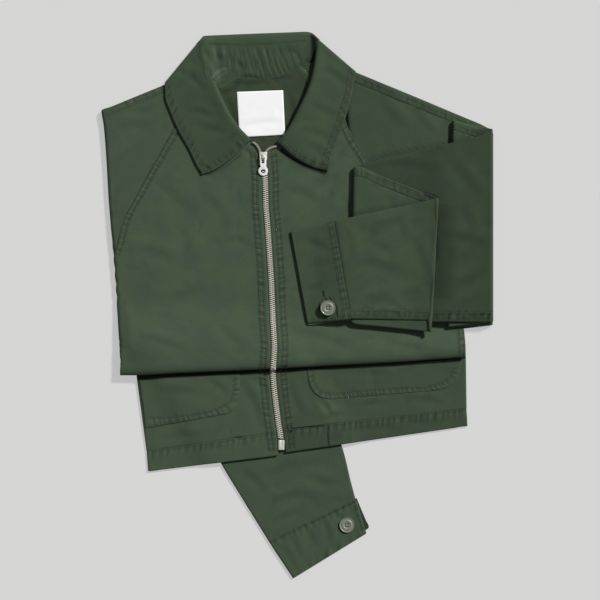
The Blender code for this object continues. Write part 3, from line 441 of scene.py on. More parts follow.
def lower_piece(name, turn_at, y_side, y_zip, outer_edge, steps):
    """A front or band of the lower part, between two rows given by y at the side and at the zip."""
    rows = []
    for share in np.linspace(0, 1, steps + 1):
        side_y = mix(y_side[0], y_side[1], share)
        front_y = mix(y_zip[0], y_zip[1], share)
        side, front = (x_at(outer_edge, side_y), side_y), (zip_side(front_y, turn_at), front_y)
        if turn_at < 0:
            rows.append(lower_row(side, front, LOWER_COLUMNS_RIGHT, turn_at, HEM_FRONT_Z))
        else:
            rows.append(lower_row(front, side, LOWER_COLUMNS_LEFT, turn_at, HEM_FRONT_Z))
    lay(name, rows, CLOTH)


def lower_fronts():
    for name, turn_at, seam, edge in (
        ("front_right_lower", -1, BAND_SEAM_RIGHT, LOWER_RIGHT_EDGE),
        ("front_left_lower", 1, BAND_SEAM_LEFT, LOWER_LEFT_EDGE),
    ):
        y_side, y_zip = (LOWER_START_Y, seam[0]), (LOWER_START_Y, seam[1])
        lower_piece(name, turn_at, y_side, y_zip, edge, 8)


def hem_bands():
    for name, turn_at, seam, hem, edge in (
        ("hem_band_right", -1, BAND_SEAM_RIGHT, HEM_RIGHT, LOWER_RIGHT_EDGE),
        ("hem_band_left", 1, BAND_SEAM_LEFT, HEM_LEFT, LOWER_LEFT_EDGE),
    ):
        y_side, y_zip = (seam[0] - GAP, hem[0]), (seam[1] - GAP, hem[1])
        lower_piece(name, turn_at, y_side, y_zip, edge, 2)


def back_lower():
    rows = []
    for share in np.linspace(0, 1, 9):
        left = mix(np.array([-188.2, LOWER_START_Y]), np.array([-171.2, -197.0]), share)
        right = mix(np.array([196, LOWER_START_Y]), np.array([197.4, -144.5]), share)
        row = []
        for s in np.linspace(0, 1, 21):
            x, y = mix(left, right, s)
            row.append((x, y, HEM_BACK_Z + float(over_sleeve(x, y))))
        rows.append(row)
    lay("back_lower", rows, CLOTH)


def pocket(name, rows_table, count):
    rows = []
    for x_right, y_right, x_left, y_left in rows_table:
        row = []
        for s in np.linspace(0, 1, count + 1):
            x, y = mix(x_right, x_left, s), mix(y_right, y_left, s)
            row.append((x, y, HEM_FRONT_Z + POCKET_LIFT + float(over_sleeve(x, y))))
        rows.append(row)
    lay(name, rows, CLOTH)


# x, y at each end of a row of a pocket, from its hidden top to its rounded bottom
RIGHT_POCKET_ROWS = [
    (-191, -74, -69.5, -74), (-189, -92, -69.5, -90), (-187, -108, -69.5, -104),
    (-184.5, -124, -70.5, -116), (-183, -138, -75, -124), (-182, -147.5, -84, -130),
]
LEFT_POCKET_ROWS = [
    (12.5, -68, 197, -66), (12.8, -80, 196.5, -76), (14.5, -92, 194, -84),
    (19, -102, 189, -92), (28, -110, 178, -99), (40, -112.5, 160, -102.5),
]


def pockets():
    pocket("pocket_right", RIGHT_POCKET_ROWS, 8)
    pocket("pocket_left", LEFT_POCKET_ROWS, 11)


# ---------------------------------------------------------------- sleeves as flattened tubes

SEAM_FROM_EDGE = 10.0
LAP = 2.6  # by which a panel's plain edge runs under the other panel's seam
LAP_DEPTH = 0.9


def front_section(width, steps):
    """(across, up) of the panel that is flat on top and turns round the far edge."""
    section = [(SEAM_FROM_EDGE - LAP, TUBE_HALF - LAP_DEPTH)]
    section += [(v, TUBE_HALF) for v in np.linspace(SEAM_FROM_EDGE + 0.5, width, steps + 1)]
    for a in np.radians(BEND):
        section.append((width + TUBE_HALF * math.sin(a), TUBE_HALF * math.cos(a)))
    return section + [(width - SEAM_FROM_EDGE, -TUBE_HALF)]


def outer_section(width, steps):
    """(across, up) of cloth that is flat on top and turns round both edges."""
    turned = [(width + TUBE_HALF * math.sin(a), TUBE_HALF * math.cos(a)) for a in np.radians(BEND)]
    turned.append((width - SEAM_FROM_EDGE, -TUBE_HALF))
    before = [(width - v, w) for v, w in turned[::-1]]
    return before + [(v, TUBE_HALF) for v in np.linspace(0, width, steps + 1)] + turned


def under_section(width, steps):
    """(across, up) of the cloth between the two turned edges, beneath."""
    start = SEAM_FROM_EDGE + 0.5
    inner = [(v, -TUBE_HALF) for v in np.linspace(start, width - start, steps + 1)]
    lap = LAP_DEPTH - TUBE_HALF
    return [(SEAM_FROM_EDGE - LAP, lap), *inner, (width - SEAM_FROM_EDGE + LAP, lap)][::-1]


def back_section(width, steps):
    """(across, up) of the panel that is flat beneath and turns round the near edge."""
    return [(width - v, -w) for v, w in front_section(width, steps)]


# x, y along the raglan seam, where the left sleeve starts
SLEEVE_START = [
    (64, 282.5), (58, 250), (58.6, 222), (66.6, 204), (83.6, 177), (114.8, 122), (146.2, 66),
    (178, 10), (201, -28),
]
# The left sleeve's six layers, from the raglan seam to the cuff
SLEEVE_LAYERS = [
    # x, y of the line where it starts, x, y of the fold line where it ends, rows as shares of the way
    (SLEEVE_START, [(235, 212), (235, -24)], [0, 0.15, 0.32, 0.5, 0.66, 0.8, 0.92]),
    ([(235, 212), (235, -24)], [(187, 222), (181, -26)], [0.15, 0.8]),
    ([(187, 222), (181, -26)], [(235, 207), (235, -20)], [0.15, 0.8]),
    ([(235, 207), (235, -20)], [(68, 166), (64, -20)],
     [0.05, 0.2, 0.3, 0.35, 0.4, 0.45, 0.5, 0.55, 0.75, 0.95]),
    ([(68, 168), (64, -22)], [(169, 128), (161, -32)], [0.05, 0.3, 0.6, 0.75, 0.85, 0.95]),
    ([(169, 128), (161, -18)], [(44.3, 101), (64.3, -16)], [0.05, 0.15, 0.25, 0.5, 0.75, 0.87, 1.0]),
]
FOLD_TURNS = (0, 45, 90, 135, 180)
FOLD_FLAT = 0.5  # a pressed fold's depth, as a share of its height
RAGLAN_DIP = 1.3  # by which the sleeve's edge runs down under the front
RAGLAN_REACH = 0.14  # how far it runs there, as a share of the way to the next row


def line_frame(line):
    """Direction along a straight fold line, and its normal to the left of it."""
    first, last = np.asarray(line[0], float), np.asarray(line[-1], float)
    run = (last - first) / math.dist(first, last)
    return run, np.array([-run[1], run[0]])


def place_across(start, end, share, across):
    """The point `across` mm from the near edge, on the row at this share between two lines."""
    near = mix(along(start, 0), along(end, 0), share)
    far = mix(along(start, 1), along(end, 1), share)
    part = (across + TUBE_RIM) / math.dist(near, far)
    return mix(along(start, part), along(end, part), share)


def sleeve_left_rows(section, steps):
    rows = []
    last = len(SLEEVE_LAYERS) - 1
    for layer, (start, end, shares) in enumerate(SLEEVE_LAYERS):
        up = 1.0 if layer % 2 == 0 else -1.0
        for share in shares:
            near = mix(along(start, 0), along(end, 0), share)
            far = mix(along(start, 1), along(end, 1), share)
            width = math.dist(near, far) - 2.0 * TUBE_RIM
            row = []
            for across, side in section(width, steps):
                x, y = place_across(start, end, share, across)
                row.append((x, y, float(sleeve_height(x, y, layer)) + up * side))
            rows.append(row)
        if layer == 0:
            first, second = np.array(rows[0]), np.array(rows[1])
            rows.insert(0, list(first - RAGLAN_REACH * (second - first) - (0, 0, RAGLAN_DIP)))
        if layer == last:
            break
        rows += sleeve_fold_rows(end, layer, up, section, steps)
    return rows


def sleeve_fold_rows(line, layer, up, section, steps):
    """Rows that turn a sleeve layer round a fold line into the next layer above it."""
    run, left = line_frame(line)
    outward = left if layer % 2 == 0 else -left
    width = math.dist(line[0], line[-1]) - 2.0 * TUBE_RIM
    inset = FOLD_FLAT * (LAYER / 2.0 + TUBE_RIM)
    rows = []
    for turn in FOLD_TURNS:
        a = math.radians(turn)
        row = []
        for across, side in section(width, steps):
            place = np.asarray(line[0], float) + run * (across + TUBE_RIM) - outward * inset
            low = float(sleeve_height(place[0], place[1], layer))
            high = float(sleeve_height(place[0], place[1], layer + 1))
            roll = (high - low) / 2.0 - up * side
            place = place + outward * FOLD_FLAT * roll * math.sin(a)
            row.append((place[0], place[1], (high + low) / 2.0 - roll * math.cos(a)))
        rows.append(row)
    return rows


def sleeve_left():
    lay("sleeve_left_front", sleeve_left_rows(front_section, 5), SLEEVE_CLOTH)
    lay("sleeve_left_back", sleeve_left_rows(back_section, 5), SLEEVE_CLOTH)


# x, y of the right sleeve's edges where it shows below the hem, from under the body to the cuff
SLEEVE_END_ROWS = [
    # near_x, near_y, far_x, far_y
    (-160, -60, -22, -59), (-137, -103, 3, -94), (-114.5, -146, 28, -130),
    (-92, -189, 52, -164), (-63, -237, 64.8, -212), (-33.9, -284.1, 70.6, -234.1),
]


def sleeve_right_end():
    for name, section in (
        ("sleeve_right_end_front", outer_section),
        ("sleeve_right_end_back", under_section),
    ):
        rows = []
        for near_x, near_y, far_x, far_y in SLEEVE_END_ROWS:
            near, far = np.array([near_x, near_y]), np.array([far_x, far_y])
            run = (far - near) / math.dist(near, far)
            row = []
            for across, side in section(math.dist(near, far) - 2.0 * TUBE_RIM, 6):
                place = near + run * (across + TUBE_RIM)
                row.append((place[0], place[1], TUBE_RIM + side))
            rows.append(row)
        lay(name, rows, SLEEVE_CLOTH)


CUFF_CLOTH = 1.4
CUFF_HALF = 1.0
CUFF_COLUMNS = 8
CUFF_SHARES = (0, 0.08, 0.36, 0.68, 0.9, 0.94, 1)  # of the way from the seam to the end
# the line of each cuff's seam and the line of its end, both from the folded edge to the open one
CUFF_RIGHT_SEAM = ((-35, -282.8), (70.5, -232.8))
CUFF_RIGHT_END = ((-5, -328), (83, -274))
CUFF_RIGHT_OVERLAP = 5.0
CUFF_RIGHT_STOP = 0.9  # share of the cuff's height at which its under layer steps back
CUFF_LEFT_SEAM = ((44, 100.9), (64, -16))
CUFF_LEFT_END = ((-7, 89), (13, -21))
CUFF_LEFT_OVERLAP = 3.0


def cuff(name, seam, end, height, overlap, stop=1):
    """A band folded at its near edge; at the far edge the under layer reaches out past the top one."""
    rows = []
    for share in CUFF_SHARES:
        near = mix(np.array(seam[0]), np.array(end[0]), share)
        far = mix(np.array(seam[1]), np.array(end[1]), share)
        past = overlap * (mix(0.2, 1, share / stop) if share <= stop else -0.2)
        reach = math.dist(near, far)
        run = (far - near) / reach
        rim_in = CUFF_HALF + CUFF_CLOTH / 2.0
        row = [(across, CUFF_HALF) for across in np.linspace(reach, rim_in, CUFF_COLUMNS)]
        for a in np.radians(BEND):
            row.append((rim_in - CUFF_HALF * math.sin(a), CUFF_HALF * math.cos(a)))
        under = np.linspace(rim_in, reach + past, CUFF_COLUMNS)
        row += [(across, -CUFF_HALF) for across in under[1:]]
        placed = []
        for across, side in row:
            x, y = near + run * across
            placed.append((x, y, float(height(x, y)) + side))
        rows.append(placed)
    lay(name, rows, CUFF_CLOTH)


def cuff_right_height(x, y):
    return CUFF_HALF + CUFF_CLOTH / 2.0


def cuff_left_height(x, y):
    return sleeve_height(x, y, 5)


def cuffs():
    cuff(
        "cuff_right", CUFF_RIGHT_SEAM, CUFF_RIGHT_END, cuff_right_height, CUFF_RIGHT_OVERLAP,
        CUFF_RIGHT_STOP,
    )
    cuff("cuff_left", CUFF_LEFT_SEAM, CUFF_LEFT_END, cuff_left_height, CUFF_LEFT_OVERLAP)


# ---------------------------------------------------------------- collar and neck

# mm inward of the roll line, share of the drop to the neck seam
ROLL = [(1.6, 0.07), (2.7, 0.28), (2.6, 0.57), (1, 0.83), (-2, 1)]
LEAF_STEPS = 5
# outer edge and roll line of each collar leaf as x, y, the heights there, the bow of the row and the
# height of the wall's middle where it reaches the neck seam
RIGHT_LEAF_ROWS = [
    # outer_x, outer_y, roll_x, roll_y, outer_z, roll_z, bow, seat_z
    (-158, 267, -114.5, 319.5, 10.1, 10.6, 0, 7.6), (-158, 252, -110.5, 290, 10.1, 12.4, 0, 7.6),
    (-150, 228, -102, 268, 10.1, 14, 0, 7.6), (-142, 210, -95, 252, 10.1, 15, 0, 7.6),
    (-129, 187, -83, 227, 10.1, 15, 0, 7.6), (-120, 168, -71, 210, 10.1, 14.8, -2, 10),
    (-114, 157, -58, 197, 10.1, 13.6, -6, 10.3),
]
LEFT_LEAF_ROWS = [
    (70, 280, 27, 317, 10.1, 11, 0, 7.6), (67, 264, 25, 297, 10.1, 12.4, 0, 7.6),
    (64, 248, 21, 274, 10.1, 14, 0, 7.6), (59, 230, 14, 253, 10.1, 15, 0, 7.6),
    (53, 212, 6, 236, 10.1, 15.4, 0, 7.6), (47, 196, -2, 220, 10.1, 15, -1, 8),
    (41, 179, -10, 206, 10.1, 14.8, -3, 10), (37, 162, -21, 194, 10.1, 13.6, -6, 10.3),
]


def leaf_rows(table):
    rows = []
    for outer_x, outer_y, roll_x, roll_y, outer_z, roll_z, bow, seat_z in table:
        outer, roll = np.array([outer_x, outer_y], float), np.array([roll_x, roll_y], float)
        inward = (roll - outer) / math.dist(roll, outer)
        row = []
        for s in np.linspace(0, 1, LEAF_STEPS + 1):
            place = mix(outer, roll, s) + np.array([0, bow * 4.0 * s * (1.0 - s)])
            row.append((place[0], place[1], mix(outer_z, roll_z, s * s)))
        for reach, drop in ROLL:
            place = roll + inward * reach
            row.append((place[0], place[1], mix(roll_z, seat_z, drop)))
        rows.append(row)
    return rows


def collar_leaves():
    lay("collar_leaf_right", leaf_rows(RIGHT_LEAF_ROWS), COLLAR_CLOTH)
    lay("collar_leaf_left", leaf_rows(LEFT_LEAF_ROWS), COLLAR_CLOTH)


# x, y of the lower edge of the back collar's inside, where it meets the neck, and of its top edge
COLLAR_VALLEY = [
    (-108, 244), (-100.8, 250), (-94.2, 256), (-86.4, 262.6), (-69.6, 271), (-54, 270.4),
    (-38.4, 271), (-22.8, 272.8), (-9.6, 278), (3.6, 287.2), (24, 296.8),
]
COLLAR_TOP = [(-120, 313.6), (-111.5, 322.7), (-49.2, 325.3), (14.4, 327.7), (20.4, 324.1), (26.4, 318.4)]
# share of the way from the neck to the collar's top edge, height, and wall
COLLAR_BACK_ROWS = [
    (-0.04, 3.4, 1), (0, 4.4, 1.2), (0.05, 5.3, 1.4), (0.14, 6.4, 1.8), (0.3, 7.4, 2), (0.45, 8.2, 2.2),
    (0.62, 8.9, 2.2), (0.78, 9.2, 2.2), (0.9, 9, 2.2), (0.98, 7.6, 2.2), (1, 5.8, 2.2), (0.96, 4.2, 2.2),
]
# x, y and height of the right leaf's roll, which the back collar's inside runs into
RIGHT_ROLL = [(-113, 322), (-110.5, 290), (-102, 268), (-95, 252), (-83, 227), (-71, 210)]
RIGHT_ROLL_HEIGHT = [(11, 322), (12.4, 290), (14, 268), (15, 252), (15, 227), (14.8, 210)]
LEFT_ROLL = [(27, 320), (25, 297), (21, 274), (14, 253)]


def collar_back():
    rows, walls = [], []
    for share, height, wall in COLLAR_BACK_ROWS:
        row = []
        for s in np.linspace(0, 1, 25):
            x, y = mix(along(COLLAR_VALLEY, s), along(COLLAR_TOP, s), share)
            past_roll = x - x_at(RIGHT_ROLL, y)
            leaf = x_at(RIGHT_ROLL_HEIGHT, y) + 0.5 - 2.4 * smooth((-past_roll - 1.5) / 8)
            below_edge = 1.0 - smooth((share - 0.94) / 0.06)
            lift = (1.0 - smooth((past_roll - 1) / 15)) * smooth((share - 0.04) / 0.24) * below_edge
            rise = smooth((x - x_at(LEFT_ROLL, y) + 13) / 11) * smooth((share - 0.5) / 0.4)
            row.append((x, y, height + lift * (leaf - height) + 2.0 * rise * below_edge))
        rows.append(row)
        walls.append([wall] * len(row))
    lay("collar_back", rows[::-1], np.array(walls[::-1]))


NECK_ROWS = [
    # y, x_right, x_left
    (288, -114, 25), (268, -107, 24), (250, -99, 20), (228, -88, 12),
    (210, -79, 2), (196, -70, -8), (184, -60, -20),
]


def back_neck():
    rows = []
    for y, x_right, x_left in NECK_ROWS:
        row = [(mix(x_right, x_left, s), y + 3.0 * s, BACK_NECK_Z) for s in np.linspace(0, 1, 7)]
        rows.append(row)
    lay("back_neck", rows, CLOTH)


LABEL_CLOTH = 1.0


def label():
    top, bottom = ((-72, 256), (-17, 258)), ((-69, 202), (-14.5, 205))
    height = BACK_NECK_Z + CLOTH / 2.0 + GAP + LABEL_CLOTH / 2.0
    rows = []
    for share in (0, 0.33, 0.67, 1):
        ends = [mix(np.array(a), np.array(b), share) for a, b in zip(top, bottom)]
        rows.append([(*mix(ends[0], ends[1], s), height) for s in (0, 0.33, 0.67, 1)])
    lay("label", rows, LABEL_CLOTH)


# ---------------------------------------------------------------- zip

ZIP_WALL = 2.0
ZIP_LIFT = 0.4


def strip(name, stations, place, wall):
    rows = []
    for station in stations:
        rows.append([place(station, side) for side in (-1, 0, 1)])
    lay(name, rows, wall)


# y of the zip's rows above the waist fold
ZIP_ROWS = [181.5, 160, 140, 120, 100, 80, 60, 40, 22, 8, -2, -10, -18, -26, -34, -42, -50, -58, -66]


def zip_upper():
    line = waist_line(-28)
    rows = []
    for y in ZIP_ROWS:
        row = [(x_at(ZIP, y) + side * ZIP_HALF, y) for side in (-1, 0, 1)]
        rows.append([(x, y, float(front_height(x, y)) + ZIP_LIFT) for x, y in row])
    for turn, run_back in WAIST_TURNS:
        row = [x_at(ZIP, line) + side * ZIP_HALF for side in (-1, 0, 1)]
        rows.append([turn_waist(x, turn, run_back, ZIP_LIFT) for x in row])
    lay("zip_upper", rows, ZIP_WALL)


def zip_lower():
    def place(y, side):
        x = x_at(ZIP, y) + side * ZIP_HALF
        return (x, y, HEM_FRONT_Z + ZIP_LIFT + float(over_sleeve(x, y)))

    strip("zip_lower", np.linspace(-60, -161, 11), place, ZIP_WALL)


# x, y of the teeth of each open tape end above the slider
TAPE_END_RIGHT = [(-53.5, 195.7), (-50, 193.8), (-47.5, 190.8), (-45.2, 186.6), (-43.2, 181)]
TAPE_END_LEFT = [(-24, 190.8), (-30.7, 189.2), (-34.4, 187.3), (-36.8, 184.9), (-38.9, 180.4)]
TAPE_HALF = 1.8


def tape_ends():
    for name, line in (("zip_tape_right", TAPE_END_RIGHT), ("zip_tape_left", TAPE_END_LEFT)):
        first, last = np.array(line[0], float), np.array(line[-1], float)
        run = (last - first) / math.dist(first, last)
        across = np.array([-run[1], run[0]])

        def place(share, side, line=line, across=across):
            x, y = along(line, share) + across * side * TAPE_HALF
            return (x, y, CHEST_Z + CLOTH + 2.0 * GAP)

        strip(name, np.linspace(0, 1, 5), place, CLOTH)


# ---------------------------------------------------------------- fine grids

STEP = 1.9  # between two points of dressed cloth
SLEEVE_STEP = 2.45
BLOCK_STEP = 7.0
LEAST_Z = 0.02  # between the lowest cloth and the surface it lies on


def fine_places(points, axis, step):
    """Where the refined rows lie, as fractions of the coarse ones."""
    length = np.linalg.norm(np.diff(points, axis=axis), axis=2).max(axis=1 - axis)
    places = [np.zeros(1)]
    for k, reach in enumerate(length):
        count = max(1, math.ceil(reach / step))
        places.append(k + np.arange(1, count + 1) / count)
    return np.concatenate(places)


def hermite(values, tangent, width, places):
    """Curves through rows of values with these slopes, read at fractions of the rows."""
    first = np.minimum(places.astype(int), len(values) - 2)
    t = (places - first)[:, None, None]
    wide = width[first]
    return (
        values[first] * (2 * t**3 - 3 * t**2 + 1)
        + tangent[first] * wide * (t**3 - 2 * t**2 + t)
        + values[first + 1] * (3 * t**2 - 2 * t**3)
        + tangent[first + 1] * wide * (t**3 - t**2)
    )


def through(values, places, axis):
    """Smooth curves through the coarse rows that never swing past them, read at the places."""
    values = np.moveaxis(values, axis, 0)
    reach = np.linalg.norm(np.diff(values[..., :3], axis=0), axis=2).mean(axis=1)
    width = np.maximum(reach, 1e-6)[:, None, None]
    slope = np.diff(values, axis=0) / width
    tangent = np.empty_like(values)
    tangent[0], tangent[-1] = slope[0], slope[-1]
    before, after = slope[:-1], slope[1:]
    product, total = before * after, before + after
    same_way = product > 0.0
    tangent[1:-1] = np.where(same_way, 2.0 * product / np.where(same_way, total, 1), 0)
    return np.moveaxis(hermite(values, tangent, width, places), 0, axis)


def refined(points, tags, step):
    values = np.dstack([points, tags])
    rows, columns = fine_places(points, 0, step), fine_places(points, 1, step)
    values = through(values, rows, 0)
    return through(values, columns, 1)


def normals(points):
    made = np.cross(np.gradient(points, axis=0), np.gradient(points, axis=1))
    return made / np.maximum(np.linalg.norm(made, axis=2, keepdims=True), 1e-9)


def run_along(points, axis):
    """Length of cloth from the first row or column to each point."""
    step = np.linalg.norm(np.diff(points, axis=axis), axis=2)
    start = np.zeros_like(np.take(step, [0], axis=axis))
    return np.cumsum(np.concatenate([start, step], axis=axis), axis=axis)


class Cloth:
    """A piece of cloth as a fine grid, with its lengths along the cloth from each edge."""

    def __init__(self, name, step=STEP, tags=None):
        points, wall = GRIDS[name]
        rows, columns = points.shape[:2]
        thick = np.broadcast_to(np.asarray(wall, float), (rows, columns))
        layer = np.zeros(rows) if tags is None else np.asarray(tags, float)
        extra = np.dstack([np.repeat(layer[:, None], columns, axis=1), thick])
        values = refined(points, extra, step)
        self.name = name
        self.middle, self.layer, self.wall = values[..., :3], values[..., 3], values[..., 4]
        self.normal = normals(self.middle)
        top = self.middle[..., 2] >= np.percentile(self.middle[..., 2], 85)
        self.face = 1.0 if self.normal[..., 2][top].mean() > 0.0 else -1.0
        left, down = run_along(self.middle, 1), run_along(self.middle, 0)
        self.run = {
            "left": left, "right": left[:, -1:] - left, "top": down, "bottom": down[-1:] - down,
        }
        self.relief = np.zeros(self.layer.shape)
        # wear, painted shade and painted highlights of each point: below zero darker, above zero paler
        self.worn = np.zeros(self.layer.shape)

    def facing_up(self):
        return smooth(np.abs(self.normal[..., 2]) * 1.6 - 0.5)

    def settle(self):
        """Moves the cloth by its relief, which stands out of the garment's outside."""
        x, y = self.middle[..., 0], self.middle[..., 1]
        out = self.normal * self.face
        self.middle = self.middle + out * self.relief[..., None]
        self.middle[..., 2] += drift(x, y) * np.clip(self.middle[..., 2] / 8, 0, 1)
        least = self.wall / 2.0 + LEAST_Z
        self.middle[..., 2] = np.maximum(self.middle[..., 2], least)
        self.normal = normals(self.middle)

    def outside(self):
        return self.middle + self.normal * self.face * (self.wall / 2)[..., None]


# direction in degrees, wavelength in mm, height in mm and phase of the swells that run through the cloth
SWELLS = [
    (20, 190, 0.16, 0.4), (75, 150, 0.14, 2.1), (130, 118, 0.12, 4), (160, 74, 0.08, 1.2),
    (48, 61, 0.07, 5.1), (100, 43, 0.05, 3.3), (8, 37, 0.04, 0.9),
]


def drift(x, y):
    """Slow swells that all layers share where they lie on each other."""
    total = 0.0
    for turn, wave, height, phase in SWELLS:
        a = math.radians(turn)
        across = x * math.cos(a) + y * math.sin(a)
        bend = 0.6 * np.sin(x / 83.0 + y / 57)
        total = total + height * np.sin(2.0 * math.pi * across / wave + phase + bend)
    return total * (1.0 - np.exp(-(((x + 40) / 30) ** 2 + ((y - 172) / 36) ** 2)))


# ---------------------------------------------------------------- seams, stitching and creases


def curve(line, step=3):
    """A smooth polyline through a few points."""
    line = np.asarray(line, float)[:, None, :]
    width = np.maximum(np.linalg.norm(np.diff(line, axis=0), axis=2), 1e-6)[..., None]
    tangent = np.gradient(line, np.concatenate([[0.0], np.cumsum(width[:, 0, 0])]), axis=0)
    return hermite(line, tangent, width, fine_places(line, 0, step))[:, 0]


def from_line(x, y, line):
    """Length along a polyline and distance to its left, for every point."""
    near = np.full(x.shape, np.inf)
    run, side = np.zeros(x.shape), np.zeros(x.shape)
    start = 0.0
    for (x0, y0), (x1, y1) in zip(line, line[1:]):
        dx, dy = x1 - x0, y1 - y0
        length = max(math.hypot(dx, dy), 1e-9)
        t = np.clip(((x - x0) * dx + (y - y0) * dy) / length**2, 0, 1)
        away = np.hypot(x - x0 - t * dx, y - y0 - t * dy)
        left = np.where(dx * (y - y0) - dy * (x - x0) >= 0, 1, -1)
        closer = away < near
        near = np.where(closer, away, near)
        run = np.where(closer, start + t * length, run)
        side = np.where(closer, away * left, side)
        start += length
    return run, side, start


def uneven(run, wave, seed):
    """Uneven waves along a seam, about -1 to 1."""
    turn = 2.0 * math.pi * run / wave
    waves = 0.6 * np.sin(turn + seed + 1.3 * np.sin(0.21 * turn + 2.0 * seed))
    waves = waves + 0.32 * np.sin(1.73 * turn + 2.1 * seed) + 0.22 * np.sin(0.61 * turn + 3.7 * seed)
    return waves * (0.72 + 0.28 * np.sin(0.17 * turn + 1.9 * seed))


def bump(value, middle, reach):
    return np.exp(-(((value - middle) / reach) ** 2))


GROOVE = 0.3
GROOVE_REACH = 1.1
CREASE = 1.7


def seam_relief(cloth, run, side, weight, seam, seed):
    """Band, stitched grooves and puckers of one seam, by length along it and distance from it, with painted
    shade in the grooves (painted highlights where the darkness is below zero) and painted light and shade
    over the puckers.
    """
    relief = np.zeros(run.shape)
    if seam.get("band"):
        first, last, lift = seam["band"]
        relief += lift * smooth((side - first) / 1.6 + 0.5) * smooth((last - side) / 1.6 + 0.5)
    for offset in seam["rows"]:
        relief -= GROOVE * bump(side, offset, GROOVE_REACH)
    if seam.get("pucker"):
        height, wave, middle, reach = seam["pucker"]
        waves = uneven(run + 0.22 * (side - middle), wave, seed)
        relief += height * waves * bump(side, middle, reach)
        cloth.worn += 1.2 * waves * bump(side, middle, reach * 1.1) * weight
    for offset in seam["rows"]:
        cloth.worn -= seam.get("dark", 1) * bump(side, offset, 1.2) * weight
    cloth.relief += relief * weight


def sew(cloth, seams):
    """Draws seams on a piece: each follows an edge of the piece, or a line in the view from above."""
    x, y = cloth.middle[..., 0], cloth.middle[..., 1]
    for number, seam in enumerate(seams):
        seed = 1.7 * number + 0.9 * len(cloth.name)
        if "edge" in seam:
            edge = seam["edge"]
            side = cloth.run[edge]
            run = cloth.run["top" if edge in ("left", "right") else "left"]
            weight = 1.0
        else:
            line = curve(seam["line"])
            run, side, length = from_line(x, y, line)
            side = side * seam.get("turn", 1)
            up = cloth.facing_up() * (np.abs(cloth.layer - seam.get("layer", 0)) < 0.4)
            weight = up * smooth((run + 0.5) / 4) * smooth((length + 0.5 - run) / 4)
        seam_relief(cloth, run, side, weight, seam, seed)


def crease(cloth, table):
    """Soft troughs with a low ridge on each side, painted shade in each trough and the ridges paler: from,
    to, bow to the left, depth and width in mm.
    """
    x, y = cloth.middle[..., 0], cloth.middle[..., 1]
    for layer, start, end, bow, depth, width in table:
        start, end = np.array(start, float), np.array(end, float)
        half = (start + end) / 2.0 + np.array([start[1] - end[1], end[0] - start[0]]) * bow
        run, side, length = from_line(x, y, curve([start, half, end], 5))
        taper = np.sin(math.pi * np.clip(run / length, 0, 1)) ** 0.7
        ridge = bump(side, 2.1 * width, 1.2 * width) + 0.6 * bump(side, -2.1 * width, 1.2 * width)
        weight = cloth.facing_up() * taper * (np.abs(cloth.layer - layer) < 0.4)
        cloth.relief += CREASE * weight * depth * (0.42 * ridge - bump(side, 0, width))
        cloth.worn += weight * 0.6 * depth * (ridge - bump(side, 0, width))


def edge_shade(cloth, shades):
    """Darkens cloth that lies in the dark between two layers: edge, reach in mm, amount."""
    for edge, reach, amount in shades:
        cloth.worn -= amount * (1.0 - smooth((cloth.run[edge] - reach) / 2))


def cut(cloth, table):
    """Grooves and painted shade along lines where cloth is slit, lapped or lies in shadow: points, width and
    depth in mm, darkness of the painted shade.
    """
    x, y = cloth.middle[..., 0], cloth.middle[..., 1]
    for line, width, depth, dark in table:
        run, side, length = from_line(x, y, curve(line, 2))
        ends = smooth((run + 0.3) / 1.5) * smooth((length + 0.3 - run) / 1.5) * cloth.facing_up()
        form = bump(side, 0, width) * ends
        cloth.relief += depth * (0.7 * bump(side, 2.0 * width, width) * ends - form)
        cloth.worn -= dark * form


def under_fold(cloth, line, reaches, dark):
    """The dark beside a fold that lies above: along a line, how far it reaches at its start and end."""
    x, y = cloth.middle[..., 0], cloth.middle[..., 1]
    run, side, length = from_line(x, y, line)
    reach = mix(reaches[0], reaches[1], run / length)
    cloth.worn -= dark * (1.0 - smooth((-side - reach) / 2.6)) * cloth.facing_up()


def crumple(cloth, count, seed):
    """Small soft creases scattered over a piece, each of its own size, with painted shade in each trough and
    paler sides.
    """
    pick = np.random.default_rng(seed)
    x, y = cloth.middle[..., 0], cloth.middle[..., 1]
    rows, columns = x.shape
    for _ in range(count):
        i, j = pick.integers(0, rows), pick.integers(0, columns)
        turn, length = pick.uniform(0, math.pi), pick.uniform(9, 34)
        width, depth = pick.uniform(2.2, 5.5), pick.uniform(0.05, 0.2)
        way = np.array([math.cos(turn), math.sin(turn)])
        middle = np.array([x[i, j], y[i, j]])
        bow = np.array([-way[1], way[0]]) * pick.uniform(-0.2, 0.2) * length
        line = [middle - way * length / 2, middle + bow, middle + way * length / 2.0]
        run, side, whole = from_line(x, y, line)
        near = np.abs(cloth.middle[..., 2] - cloth.middle[i, j, 2]) < 1.5
        taper = np.sin(math.pi * np.clip(run / whole, 0, 1)) * near * cloth.facing_up()
        form = 0.5 * bump(side, 1.9 * width, 1.1 * width) - bump(side, 0, width)
        cloth.relief += depth * taper * form
        cloth.worn += 1.1 * depth * taper * form


# ---------------------------------------------------------------- meshes of cloth


def mesh_object(name, points, faces, uv=None, worn=None):
    mesh = bpy.data.meshes.new(name)
    mesh.from_pydata((np.asarray(points) * MM).tolist(), [], faces)
    if uv is not None:
        corner = np.empty(len(mesh.loops), np.int32)
        mesh.loops.foreach_get("vertex_index", corner)
        layer = mesh.uv_layers.new(name="weave")
        layer.data.foreach_set("uv", (np.asarray(uv, np.float32)[corner] * MM).ravel())
    if worn is not None:
        # wear, painted shade and painted highlights of each point, for the twill's colour
        values = mesh.attributes.new("worn", "FLOAT", "POINT")
        values.data.foreach_set("value", np.asarray(worn, np.float32))
    mesh.shade_smooth()
    made = bpy.data.objects.new(name, mesh)
    bpy.context.scene.collection.objects.link(made)
    return made


